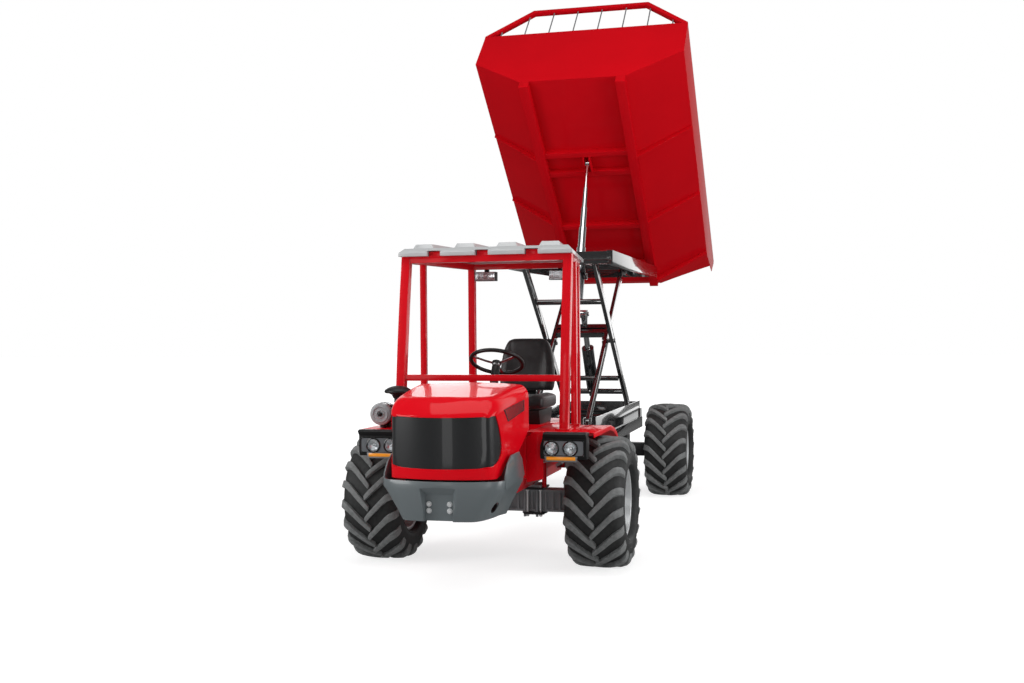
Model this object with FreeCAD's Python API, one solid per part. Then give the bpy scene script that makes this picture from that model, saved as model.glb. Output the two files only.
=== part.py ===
import FreeCAD, Part
import os
from math import atan2, cos, degrees, hypot, pi, radians, sin, tan

# Palm fruit transport vehicle: an open-cab carrier on four equal lugged tyres.  A scissor
# frame behind the seat carries a tipping bed, drawn raised and tipped.
#
# Millimetres.  The front faces -Y, the vehicle's left is +X and +Z is up.  Every piece is
# drawn with the middle of the front axle above the origin and then moved along Y by
# FRONT_AXLE_Y, so that the part's origin is the middle of its length, on the ground.

FRONT_AXLE_Y = -2316.5

# --- wheels, tyres and axles ---
WHEELBASE = 3565.0
TRACK = 1540.0
TYRE_D = 885.0
TYRE_W = 398.0
LUG_H = 27.0
LUG_W = 46.0
LUG_COUNT = 18
LUG_SLANT = 42.0
LUG_CENTRE_OVERLAP = 14.0
SHOULDER_DROP = 46.0
SHOULDER_W = 62.0
BEAD_R = 226.0
RIM_W = 318.0
RIM_WALL = 8.0
RIM_WELL_DROP = 30.0
RIM_FLANGE_H = 16.0
DISC_OFFSET = 48.0
DISC_T = 12.0
HUB_R = 62.0
HUB_FLANGE_R = 105.0
HUB_FLANGE_T = 16.0
NUT_R = 13.0
NUT_COUNT = 8
NUT_CIRCLE_R = 86.0
FIT = 0.3
RUNNING = 0.05
ROD_GAP = 0.5
ROD_SIDE_GAP = 4.0
CLEARANCE = 6.0

KINGPIN_X = 602.0
KINGPIN_R = 22.0
YOKE_HALF_H = 112.0
YOKE_PLATE_T = 24.0
YOKE_R = 48.0
STEER_ARM_W = 34.0
STEER_ARM_LEN = 150.0
AXLE_BODY_H = 150.0
AXLE_BODY_D = 130.0
AXLE_RIB_T = 12.0
AXLE_RIB_COUNT = 11
SPINDLE_R = 40.0
DIFF_R = 150.0
DRIVE_SHAFT_R = 34.0

# --- chassis ---
FRAME_X = 300.0
FRAME_RAIL_W = 60.0
FRAME_RAIL_H = 90.0
FRAME_TOP_Z = 640.0
FRAME_FRONT_Y = -1130.0
FRAME_WALL = 8.0
REAR_RAIL_X = 372.0
REAR_RAIL_W = 62.0
REAR_RAIL_TOP_Z = 692.0
REAR_RAIL_H = 106.0
REAR_FRAME_FRONT_Y = 640.0
REAR_FRAME_END_Y = 4482.0
STOP_H = 92.0
STOP_R = 19.0

# --- front bumper ---
BUMPER_FRONT_Y = -1292.0
BUMPER_REAR_Y = -830.0
BUMPER_HALF_W = 425.0
BUMPER_Z0 = 468.0
BUMPER_Z1 = 706.0
BUMPER_WALL = 14.0
BUMPER_BOLT_DX = 88.0
BUMPER_BOLT_DZ = 42.0
BUMPER_BOLT_Z = 548.0
BUMPER_BOLT_HOLE_R = 8.5
BUMPER_EYE_X = 298.0
BUMPER_EYE_R = 26.0

# --- hood ---
HOOD_FRONT_Y = -1272.0
HOOD_REAR_Y = -500.0
HOOD_HALF_W = 392.0
HOOD_FRONT_BOW = 120.0
HOOD_Z0 = 716.0
HOOD_LIP_Z = 1085.0
HOOD_CREST_Z = 1268.0
HOOD_WALL = 7.0
GRILLE_Z0 = 752.0
GRILLE_Z1 = 1072.0
GRILLE_DEPTH = 330.0
HOOD_HINGE_X = 150.0
HOOD_HINGE_Y = -478.0
HOOD_HINGE_Z = 1200.0
HOOD_HINGE_T = 8.0
HOOD_HINGE_R = 20.0
HOOD_PIN_R = 9.0

# --- cab platform, fenders and lamps ---
PLATE_T = 6.0
FLOOR_Z = REAR_RAIL_TOP_Z + FIT + PLATE_T
CAB_HALF_W = 352.0
CAB_FRONT_Y = -462.0
CAB_REAR_Y = 1330.0
SEAT_BOX_Y = 560.0
SEAT_BOX_Z = 905.0
FENDER_OUT_X = 800.0
FENDER_TOP_Z = 944.0
FENDER_FRONT_Y = -452.0
FENDER_FLAT_Y = 150.0
FENDER_REAR_Y = 500.0
FENDER_REAR_Z = 812.0
FENDER_SKIRT = 34.0
HEADLAMP_IN_X = 467.0
HEADLAMP_OUT_X = 768.0
HEADLAMP_FRONT_Y = -552.0
HEADLAMP_Z0 = 778.0
HEADLAMP_Z1 = 952.0
HEADLAMP_LENS_X = (543.0, 665.0)
HEADLAMP_LENS_Z = 848.0
HEADLAMP_LENS_R = 43.0
INDICATOR_W = 210.0
INDICATOR_H = 26.0

# --- rollover frame and roof ---
POST_W = 58.0
POST_D = 62.0
POST_X = 571.0
POST_TOP_X = 574.0
POST_FOOT_Y = -288.0
POST_MID_Y = -222.0
POST_MID_Z = 1535.0
POST_TOP_Y = -128.0
RAIL_Z0 = 2071.0
RAIL_H = 43.0
CROSSBAR_Z = 1284.0
CROSSBAR_H = 42.0
MID_POST_W = 40.0
MID_POST_X = 548.0
MID_POST_Y = 148.0
REAR_POST_W = 50.0
REAR_POST_X = 410.0
REAR_POST_Y = 900.0
ROOF_FRONT_Y = -196.0
ROOF_REAR_Y = 985.0
ROOF_FRONT_X = 612.0
ROOF_REAR_X = 452.0
ROOF_T = 56.0
ROOF_RIB_H = 30.0
ROOF_RIB_COUNT = 4
WORK_LAMP_W = 160.0
WORK_LAMP_H = 70.0
WORK_LAMP_X = 290.0

# --- driver's place ---
WHEEL_CENTRE_Y = 118.0
WHEEL_CENTRE_Z = 1382.0
WHEEL_R = 196.0
WHEEL_GRIP_R = 14.0
WHEEL_HUB_BACK = 38.0
COLUMN_TILT = 28.0
COLUMN_LEN = 560.0
COLUMN_R = 30.0
SEAT_FRONT_Y = 560.0
SEAT_BACK_Y = 1010.0
SEAT_HALF_W = 236.0
SEAT_PAN_Z = 1010.0
SEAT_CUSHION_T = 118.0
SEAT_BACK_TOP_Z = 1542.0
SEAT_BACK_T = 96.0
SEAT_BACK_LEAN = 9.0

# --- air cleaner ---
CLEANER_X = -692.0
CLEANER_Z = 1040.0
CLEANER_R = 78.0
CLEANER_FRONT_Y = -352.0
CLEANER_LEN = 330.0
INTAKE_X = -540.0
INTAKE_Y = -415.0
INTAKE_CAP_Z = 1215.0
INTAKE_CAP_R = 58.0

# --- scissor frame ---
SCISSOR_FRONT_Y = 2130.0
SCISSOR_SPREAD = 1820.0
SCISSOR_LOW_Z = 800.0
SCISSOR_RISE = 1400.0
ARM_DEPTH = 84.0
ARM_T = 32.0
OUTER_ARM_X = 314.0
INNER_ARM_X = 250.0
ARM_PIN_R = 20.0
EAR_T = 10.0
ROLLER_R = 44.0
ROLL_GAP = 1.5
TRACK_WALL = 8.0
TRACK_FRONT_Y = 3500.0
CROSS_TUBE_R = 25.0
LIFT_BASE_D = 830.0
LIFT_PIN_R = 28.0
LIFT_EYE_D = 300.0
LIFT_EYE_OFFSET = 90.0
LIFT_EYE_R = 38.0
LIFT_EYE_HALF_W = 30.0
LIFT_BEAM_D = (118.0, 200.0)
LIFT_BEAM_W = 56.0
LIFT_BEAM_OFFSET = -4.0
LIFT_BARREL_R = 59.0
LIFT_BARREL_LEN = 470.0
LIFT_ROD_R = 27.0
LIFT_ROD_LEN = 480.0

# --- top frame ---
TOP_FRONT_Y = 1872.0
TOP_REAR_Y = 4598.0
TOP_X = 522.0
TOP_Z0 = 2150.0
TOP_H = 115.0
TOP_RAIL_W = 50.0
TOP_CROSS_D = 60.0
TOP_BRIDGE_H = 60.0
GUIDE_FRONT_Y = 3800.0
HINGE_PIN_R = 14.0
HINGE_EYE_R = 24.0
HINGE_EAR_X = 378.0
HINGE_EAR_T = 12.0

# --- bed ---
TIP_ANGLE = 39.6
HINGE_Y = 4600.0
HINGE_Z = 2250.0
HINGE_V = 2470.0
HINGE_N = -100.0
BED_WALL = 5.0
BED_FLOOR_X = 495.0
BED_RIM_X = 995.0
BED_FLARE_N = 361.0
BED_RIM_N = 810.0
BED_WALL_LEAN = 0.112
TAIL_V = 2780.0
TAIL_FLOOR_V = 3060.0
TAIL_FLOOR_N = 170.0
TAIL_LEAN = 0.537
TAIL_FLARE_N = 580.0
RIM_TUBE = 40.0
GUARD_N = 1275.0
GUARD_X = 566.0
GUARD_TUBE = 45.0
GUARD_BAR_R = 6.0
GUARD_SINK = 8.0
GUARD_BAR_COUNT = 8
BED_RAIL_W = 88.0
BED_RAIL_H = 78.0
BED_CROSS_V = (850.0, 1100.0, 1850.0)
BED_CROSS_W = 60.0
GUSSET_V = (923.0, 1814.0, 2700.0)
GUSSET_T = 6.0

# --- telescopic tipping cylinder ---
TIP_BASE_Y = 3040.0
TIP_BASE_Z = 2100.0
TIP_EYE_V = 990.0
TIP_EYE_N = -62.0
TIP_STAGE_R = (42.0, 35.0, 28.5, 23.0, 18.0)
TIP_STAGE_WALL = 4.0
TIP_STAGE_TRAVEL = 200.0
TIP_BARREL_R = 50.0
TIP_BARREL_TOP = 90.0
TIP_BARREL_LEN = 330.0
TRUNNION_R = 20.0
TRUNNION_X = 60.0
CRADLE_T = 12.0
TIP_EYE_R = 26.0
TIP_EYE_HALF_W = 18.0

WHEEL_R_OUT = TYRE_D / 2.0
TOP_Z1 = TOP_Z0 + TOP_H
FRAME_LOW_Z = FRAME_TOP_Z - FRAME_RAIL_H


# --- small builders ---------------------------------------------------------------------

def vec(x, y, z):
    return FreeCAD.Vector(x, y, z)


def box(x0, x1, y0, y1, z0, z1):
    return Part.makeBox(x1 - x0, y1 - y0, z1 - z0, vec(x0, y0, z0))


def cyl(start, end, radius):
    axis = end - start
    return Part.makeCylinder(radius, axis.Length, start, axis)


def tube(start, end, outer, inner):
    return cyl(start, end, outer).cut(cyl(start, end, inner))


def face_of(points):
    return Part.Face(Part.makePolygon(points + [points[0]]))


def prism_x(points, x0, x1):
    """Outline of (y, z) points, extruded from x0 to x1."""
    return face_of([vec(x0, y, z) for y, z in points]).extrude(vec(x1 - x0, 0, 0))


def prism_y(points, y0, y1):
    """Outline of (x, z) points, extruded from y0 to y1."""
    return face_of([vec(x, y0, z) for x, z in points]).extrude(vec(0, y1 - y0, 0))


def prism_z(points, z0, z1):
    """Outline of (x, y) points, extruded from z0 to z1."""
    return face_of([vec(x, y, z0) for x, y in points]).extrude(vec(0, 0, z1 - z0))


def mirror_x(shape):
    return shape.mirror(vec(0, 0, 0), vec(1, 0, 0))


def both_sides(shape):
    return [shape, mirror_x(shape)]


def fuse(shapes):
    body = shapes[0]
    if len(shapes) > 1:
        body = body.multiFuse(shapes[1:])
    return body.removeSplitter()


def offset_chain(points, gap):
    """The open chain of 2-D points moved sideways, to its left, by gap."""
    moved = []
    last = len(points) - 1
    for i, (a, b) in enumerate(points):
        before = points[max(i - 1, 0)]
        after = points[min(i + 1, last)]
        d1 = atan2(b - before[1], a - before[0]) if i > 0 else atan2(after[1] - b, after[0] - a)
        d2 = atan2(after[1] - b, after[0] - a) if i < last else d1
        half = (d2 - d1) / 2.0
        reach = gap / cos(half)
        mid = d1 + half + pi / 2.0
        moved.append((a + reach * cos(mid), b + reach * sin(mid)))
    return moved


def strip(points, depth):
    """Closed outline of a strip of the given depth, centred on an open chain."""
    return offset_chain(points, depth / 2.0) + offset_chain(points, -depth / 2.0)[::-1]


def revolve_x(profile, y, z):
    """Closed (x, r) profile turned about the line along X through (y, z)."""
    face = face_of([vec(x, y, z + r) for x, r in profile])
    return face.revolve(vec(0, y, z), vec(1, 0, 0), 360)


def bar_between(start, end, width, height):
    """Rectangular bar from start to end; width is across, height is upright."""
    axis = end - start
    bar = Part.makeBox(width, height, axis.Length, vec(-width / 2.0, -height / 2.0, 0))
    bar.Placement = FreeCAD.Placement(start, FreeCAD.Rotation(vec(1, 0, 0), vec(0, 0, 1), axis, "ZXY"))
    return bar


def save(node, shape):
    placed = shape.copy()
    placed.translate(vec(0, FRONT_AXLE_Y, 0))
    placed.exportStep("parts/" + node + ".step")


# --- wheels -----------------------------------------------------------------------------

def tyre_profile():
    half = TYRE_W / 2.0
    crown = WHEEL_R_OUT - LUG_H
    shoulder = crown - SHOULDER_DROP * 0.35
    bead_x = RIM_W / 2.0 - RIM_WALL - FIT
    right = [(half - SHOULDER_W, crown - 5), (half - 26, shoulder - 12), (half - 4, shoulder - 60),
             (half, BEAD_R + 92), (half - 16, BEAD_R + 34), (bead_x, BEAD_R + RIM_FLANGE_H + FIT),
             (bead_x, BEAD_R)]
    return [(-x, r) for x, r in right[::-1]] + [(0, crown)] + right


def lug(side):
    """One slanted tread bar, standing at the top of a tyre centred on the origin."""
    half = TYRE_W / 2.0
    sweep = (half + LUG_CENTRE_OVERLAP) * tan(radians(90 - LUG_SLANT)) * 0.62
    half_w = LUG_W / 2.0
    root = WHEEL_R_OUT - LUG_H - SHOULDER_DROP
    inner_x = -LUG_CENTRE_OVERLAP
    knee_x = half - SHOULDER_W
    outline = [(inner_x, -half_w), (knee_x, sweep - half_w), (half, sweep - half_w + 22),
               (half, sweep + half_w + 34), (knee_x, sweep + half_w + 8), (inner_x, half_w)]
    bar = prism_z([(side * x, y) for x, y in outline], root, WHEEL_R_OUT + 40)
    crown = [(0, root), (0, WHEEL_R_OUT), (half - SHOULDER_W, WHEEL_R_OUT - 7),
             (half - 8, WHEEL_R_OUT - SHOULDER_DROP), (half - 1, root)]
    width = crown[::-1] + [(-x, r) for x, r in crown[1:]]
    return bar.common(revolve_x(width, 0, 0))


def tyre():
    """Rubber ring with two rows of slanted lugs; the apex of the pattern leads at the bottom."""
    solids = [revolve_x(tyre_profile(), 0, 0)]
    pitch = 360.0 / LUG_COUNT
    for side in (1, -1):
        bar = lug(side)
        for i in range(LUG_COUNT):
            copy = bar.copy()
            copy.rotate(vec(0, 0, 0), vec(1, 0, 0), (i + (0.25 if side > 0 else -0.25)) * pitch)
            solids.append(copy)
    return solids[0].multiFuse(solids[1:])


def hub_profile():
    """Half section of the hub: a flange behind the disc and a cap through its middle."""
    x = DISC_OFFSET
    return [(x - HUB_FLANGE_T, 0), (x + 52, 0), (x + 52, HUB_R - 16), (x + 42, HUB_R), (x, HUB_R),
            (x + 1, HUB_FLANGE_R), (x - HUB_FLANGE_T, HUB_FLANGE_R)]


def rim():
    """Welded rim band with a drop centre, its disc, and the wheel nuts, hub side at -X."""
    half = RIM_W / 2.0
    seat = BEAD_R - FIT
    well = seat - RIM_WELL_DROP
    disc_x = DISC_OFFSET
    edge = seat + RIM_FLANGE_H
    right = [(half - 84, well), (half - 60, seat), (half - RIM_WALL, seat), (half - RIM_WALL, edge),
             (half, edge), (half, seat - RIM_WALL), (half - 56, seat - RIM_WALL),
             (half - 80, well - RIM_WALL)]
    band = right + [(-x, r) for x, r in right[::-1]]
    dish = [(disc_x, HUB_R - 4), (disc_x + DISC_T, HUB_R - 4),
            (disc_x + DISC_T, 118), (disc_x - 22 + DISC_T, well - RIM_WALL - 24),
            (disc_x - 40 + DISC_T, well - RIM_WALL + 2), (disc_x - 40, well - RIM_WALL + 2),
            (disc_x - 22, well - RIM_WALL - 30), (disc_x, 112)]
    solids = [revolve_x(band, 0, 0), revolve_x(dish, 0, 0), revolve_x(hub_profile(), 0, 0)]
    for i in range(NUT_COUNT):
        a = 2 * pi * i / NUT_COUNT
        y = NUT_CIRCLE_R * cos(a)
        z = NUT_CIRCLE_R * sin(a)
        solids.append(cyl(vec(disc_x + DISC_T - 1, y, z), vec(disc_x + DISC_T + 15, y, z), NUT_R))
    return fuse(solids)


def placed_wheel(shape, side, y):
    """A wheel piece drawn for +X, set on its axle end; the left tread leans the other way."""
    copy = shape.copy() if side > 0 else mirror_x(shape)
    copy.translate(vec(side * TRACK / 2.0, y, WHEEL_R_OUT))
    return copy


def knuckle():
    """Steering knuckle of the left wheel: a drum on the kingpin and the wheel spindle."""
    top = YOKE_HALF_H - YOKE_PLATE_T / 2.0 - CLEARANCE / 2.0
    drum = tube(vec(KINGPIN_X, 0, WHEEL_R_OUT - top), vec(KINGPIN_X, 0, WHEEL_R_OUT + top),
                YOKE_R, KINGPIN_R + RUNNING)
    spindle = cyl(vec(KINGPIN_X + KINGPIN_R + 4, 0, WHEEL_R_OUT),
                  vec(TRACK / 2.0 + DISC_OFFSET - HUB_FLANGE_T - 2 * FIT, 0, WHEEL_R_OUT), SPINDLE_R)
    collar = cyl(vec(KINGPIN_X + 40, 0, WHEEL_R_OUT), vec(KINGPIN_X + 96, 0, WHEEL_R_OUT), 74)
    arm = box(KINGPIN_X - STEER_ARM_W / 2.0, KINGPIN_X + STEER_ARM_W / 2.0, 30, STEER_ARM_LEN,
              WHEEL_R_OUT - 22, WHEEL_R_OUT + 4)
    bore = cyl(vec(KINGPIN_X, 0, 0), vec(KINGPIN_X, 0, TYRE_D), KINGPIN_R + RUNNING)
    return fuse([drum, spindle, collar, arm]).cut(bore)


def front_axle():
    """Cast housing with upright ribs, a centre drive, and a yoke with a kingpin at each end."""
    z = WHEEL_R_OUT
    y_half = AXLE_BODY_D / 2.0
    z_half = AXLE_BODY_H / 2.0
    end_x = KINGPIN_X - YOKE_R - 14
    solids = [box(-end_x, end_x, -y_half + 14, y_half - 14, z - z_half + 16, z + z_half - 16)]
    solids.append(box(-end_x, end_x, -y_half, y_half, z + z_half - 16, z + z_half))
    solids.append(box(-end_x, end_x, -y_half, y_half, z - z_half, z - z_half + 16))
    pitch = 2 * end_x / (2 * AXLE_RIB_COUNT)
    for i in range(2 * AXLE_RIB_COUNT + 1):
        x = -end_x + AXLE_RIB_T / 2.0 + i * (2 * end_x - AXLE_RIB_T) / (2 * AXLE_RIB_COUNT)
        solids.append(box(x - AXLE_RIB_T / 2.0, x + AXLE_RIB_T / 2.0, -y_half, y_half,
                          z - z_half + 1, z + z_half - 1))
    solids.append(cyl(vec(0, -y_half - 40, z), vec(0, y_half + 90, z), DIFF_R - 30))
    for side in (1, -1):
        for level in (YOKE_HALF_H, -YOKE_HALF_H):
            low = z + level - YOKE_PLATE_T / 2.0
            plate = box(end_x - 30, KINGPIN_X, -YOKE_R, YOKE_R, low, low + YOKE_PLATE_T)
            eye = cyl(vec(KINGPIN_X, 0, low), vec(KINGPIN_X, 0, low + YOKE_PLATE_T), YOKE_R)
            solids += [plate if side > 0 else mirror_x(plate), eye if side > 0 else mirror_x(eye)]
        post = box(end_x - 30, end_x, -YOKE_R, YOKE_R, z - YOKE_HALF_H, z + YOKE_HALF_H)
        solids.append(post if side > 0 else mirror_x(post))
        pin = cyl(vec(side * KINGPIN_X, 0, z - YOKE_HALF_H), vec(side * KINGPIN_X, 0, z + YOKE_HALF_H),
                  KINGPIN_R)
        solids.append(pin)
    for x in (-245.0, -330.0, 245.0, 330.0):
        for y in (-y_half - 10, y_half + 10):
            solids.append(cyl(vec(x, y, z - z_half - 34), vec(x, y, FRAME_LOW_Z), 9))
        solids.append(box(x - 14, x + 14, -y_half - 22, y_half + 22, z - z_half - 12, z - z_half + 1))
    for side in (1, -1):
        lo, hi = sorted((side * 225.0, side * 350.0))
        solids.append(box(lo, hi, -y_half - 22, y_half + 22, z + z_half - 1, FRAME_LOW_Z))
    return fuse(solids)


def rear_axle():
    """Plain housing with a centre drive and a spindle to each rear hub."""
    z = WHEEL_R_OUT
    reach = TRACK / 2.0 + DISC_OFFSET - HUB_FLANGE_T - 2 * FIT
    solids = [box(-KINGPIN_X, KINGPIN_X, WHEELBASE - 60, WHEELBASE + 60, z - 62, z + 62)]
    solids.append(cyl(vec(0, WHEELBASE - 150, z), vec(0, WHEELBASE + 100, z), DIFF_R - 20))
    for side in (1, -1):
        solids.append(cyl(vec(side * (KINGPIN_X - 10), WHEELBASE, z), vec(side * reach, WHEELBASE, z), 56))
        lo, hi = sorted((side * (REAR_RAIL_X - REAR_RAIL_W), side * REAR_RAIL_X))
        solids.append(box(lo, hi, WHEELBASE - 90, WHEELBASE + 90, z + 61, REAR_RAIL_TOP_Z - REAR_RAIL_H))
    return fuse(solids)


def drive_shaft():
    """Shaft from the gearbox behind the engine to the rear axle."""
    z = WHEEL_R_OUT
    return cyl(vec(0, 176, z), vec(0, WHEELBASE - 150, z), DRIVE_SHAFT_R)


# --- chassis ----------------------------------------------------------------------------

def channel(x_out, width, y0, y1, z0, z1, wall):
    """Left-hand C section, its back outside at x_out and its mouth towards the middle."""
    back = [(x_out, z0), (x_out, z1), (x_out - width, z1), (x_out - width, z1 - wall),
            (x_out - wall, z1 - wall), (x_out - wall, z0 + wall), (x_out - width, z0 + wall),
            (x_out - width, z0)]
    return prism_y(back, y0, y1)


def front_frame():
    """Two channels with crossmembers from the bumper to the joint with the rear frame."""
    rail = channel(FRAME_X, FRAME_RAIL_W, FRAME_FRONT_Y, REAR_FRAME_FRONT_Y + 200, FRAME_LOW_Z,
                   FRAME_TOP_Z, FRAME_WALL)
    solids = both_sides(rail)
    for y in (FRAME_FRONT_Y, -560.0, 260.0, REAR_FRAME_FRONT_Y + 130):
        solids.append(box(-FRAME_X + FRAME_WALL, FRAME_X - FRAME_WALL, y, y + 60,
                          FRAME_LOW_Z + FRAME_WALL, FRAME_TOP_Z - FRAME_WALL))
    return fuse(solids)


def rear_frame():
    """Two channels that widen behind the seat, the scissor's tracks and the end crossmember."""
    low = REAR_RAIL_TOP_Z - REAR_RAIL_H
    rail = channel(REAR_RAIL_X, REAR_RAIL_W, REAR_FRAME_FRONT_Y, REAR_FRAME_END_Y, low,
                   REAR_RAIL_TOP_Z, FRAME_WALL)
    solids = both_sides(rail)
    inner = REAR_RAIL_X - FRAME_WALL
    high = REAR_RAIL_TOP_Z - FRAME_WALL
    for y in (1400.0, 2040.0, 2700.0, REAR_FRAME_END_Y - 60):
        solids.append(box(-inner, inner, y, y + 60, low + FRAME_WALL, high))
    solids.append(box(-inner, inner, REAR_FRAME_FRONT_Y, REAR_FRAME_FRONT_Y + 60, FRAME_TOP_Z + FIT, high))
    plate_in = OUTER_ARM_X + ARM_T / 2.0 + CLEARANCE
    for side in (1, -1):
        lo, hi = sorted((side * plate_in, side * (plate_in + TRACK_WALL)))
        guide = [(1990, REAR_RAIL_TOP_Z - 2), (REAR_FRAME_END_Y, REAR_RAIL_TOP_Z - 2),
                 (REAR_FRAME_END_Y, SCISSOR_LOW_Z + ROLLER_R + CLEARANCE + TRACK_WALL),
                 (2040, SCISSOR_LOW_Z + ROLLER_R + CLEARANCE + TRACK_WALL), (1990, REAR_RAIL_TOP_Z + 60)]
        solids.append(prism_x(guide, lo, hi))
        under = SCISSOR_LOW_Z - ROLLER_R - ROLL_GAP
        lo, hi = sorted((side * (OUTER_ARM_X - ARM_T / 2.0 + 8), side * (plate_in + 1)))
        solids.append(box(lo, hi, TRACK_FRONT_Y, REAR_FRAME_END_Y - 8, under - TRACK_WALL, under))
        stop_x = side * (REAR_RAIL_X - 18)
        stop_y = REAR_FRAME_END_Y - 60
        solids.append(cyl(vec(stop_x, stop_y, REAR_RAIL_TOP_Z - 2),
                          vec(stop_x, stop_y, REAR_RAIL_TOP_Z + STOP_H), STOP_R))
        ear_in = INNER_ARM_X - ARM_T / 2.0 - CLEARANCE / 2.0
        for x0 in (ear_in - 12, INNER_ARM_X + ARM_T / 2.0 + CLEARANCE / 2.0):
            lo, hi = sorted((side * x0, side * (x0 + 12)))
            ear = [(SCISSOR_FRONT_Y - 60, REAR_RAIL_TOP_Z - 30), (SCISSOR_FRONT_Y + 60, REAR_RAIL_TOP_Z - 30),
                   (SCISSOR_FRONT_Y + 44, SCISSOR_LOW_Z + 44), (SCISSOR_FRONT_Y - 44, SCISSOR_LOW_Z + 44)]
            solids.append(prism_x(ear, lo, hi))
        pin = cyl(vec(side * (ear_in - 6), SCISSOR_FRONT_Y, SCISSOR_LOW_Z),
                  vec(side * (INNER_ARM_X + ARM_T / 2.0 + 9), SCISSOR_FRONT_Y, SCISSOR_LOW_Z), ARM_PIN_R)
        solids.append(pin)
    end = box(-plate_in, plate_in, REAR_FRAME_END_Y - 10, REAR_FRAME_END_Y, low + 20,
              SCISSOR_LOW_Z + ROLLER_R + CLEARANCE)
    solids.append(end)
    return fuse(solids)


def engine_block():
    return box(-FRAME_X + 40, FRAME_X - 40, -1040, -540, FRAME_TOP_Z + FIT, HOOD_LIP_Z - 60)


def bumper_outline(gap):
    half = BUMPER_HALF_W - gap
    front = BUMPER_FRONT_Y + gap
    return [(-half, BUMPER_REAR_Y), (-half, front + 150), (-half + 66, front + 40),
            (-half + 190, front), (half - 190, front), (half - 66, front + 40),
            (half, front + 150), (half, BUMPER_REAR_Y)]


def bumper():
    """Wrapped plate bumper: chamfered low corners, a recessed bolt plate and two round eyes."""
    outer = prism_z(bumper_outline(0.0), BUMPER_Z0, BUMPER_Z1)
    inner = prism_z([(x, y + (60 if y == BUMPER_REAR_Y else 0)) for x, y in bumper_outline(BUMPER_WALL)],
                    BUMPER_Z0 + BUMPER_WALL, BUMPER_Z1 + 50)
    slope = [(BUMPER_FRONT_Y - 10, BUMPER_Z0 - 10), (BUMPER_FRONT_Y - 10, BUMPER_Z0 + 96),
             (BUMPER_FRONT_Y + 46, BUMPER_Z0 - 10)]
    side_slope = [(BUMPER_HALF_W + 10, BUMPER_Z0 - 10), (BUMPER_HALF_W + 10, BUMPER_Z0 + 120),
                  (BUMPER_HALF_W - 90, BUMPER_Z0 - 10)]
    shell = outer.cut(inner)
    shell = shell.cut(prism_x(slope, -600, 600))
    wedge = prism_y(side_slope, BUMPER_FRONT_Y - 10, BUMPER_REAR_Y + 10)
    shell = shell.cut(wedge).cut(mirror_x(wedge))
    plate_y = BUMPER_FRONT_Y + 46
    backing = box(-FRAME_X, FRAME_X, plate_y, plate_y + 14, BUMPER_Z0 + BUMPER_WALL, BUMPER_Z1 - 60)
    notch = prism_z([(-118, BUMPER_FRONT_Y - 5), (-92, plate_y), (92, plate_y), (118, BUMPER_FRONT_Y - 5)],
                    BUMPER_Z0 - 5, BUMPER_BOLT_Z + 44)
    shell = shell.cut(notch)
    solids = [shell, backing]
    for side in (1, -1):
        lo, hi = sorted((side * (FRAME_X - 40), side * FRAME_X))
        solids.append(box(lo, hi, plate_y, FRAME_FRONT_Y - FIT, FRAME_LOW_Z + 4, FRAME_TOP_Z - 4))
    body = fuse(solids)
    for dx in (-BUMPER_BOLT_DX / 2.0, BUMPER_BOLT_DX / 2.0):
        for dz in (-BUMPER_BOLT_DZ / 2.0, BUMPER_BOLT_DZ / 2.0):
            start = vec(dx, BUMPER_FRONT_Y - 5, BUMPER_BOLT_Z + dz)
            body = body.cut(cyl(start, start + vec(0, 90, 0), BUMPER_BOLT_HOLE_R))
    for side in (1, -1):
        start = vec(side * BUMPER_EYE_X, BUMPER_FRONT_Y - 5, BUMPER_Z0 + 74)
        body = body.cut(cyl(start, start + vec(0, 110, 0), BUMPER_EYE_R))
    return body


# --- hood -------------------------------------------------------------------------------

def arc_edge(a, b, c):
    return Part.Arc(a, b, c).toShape()


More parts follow.
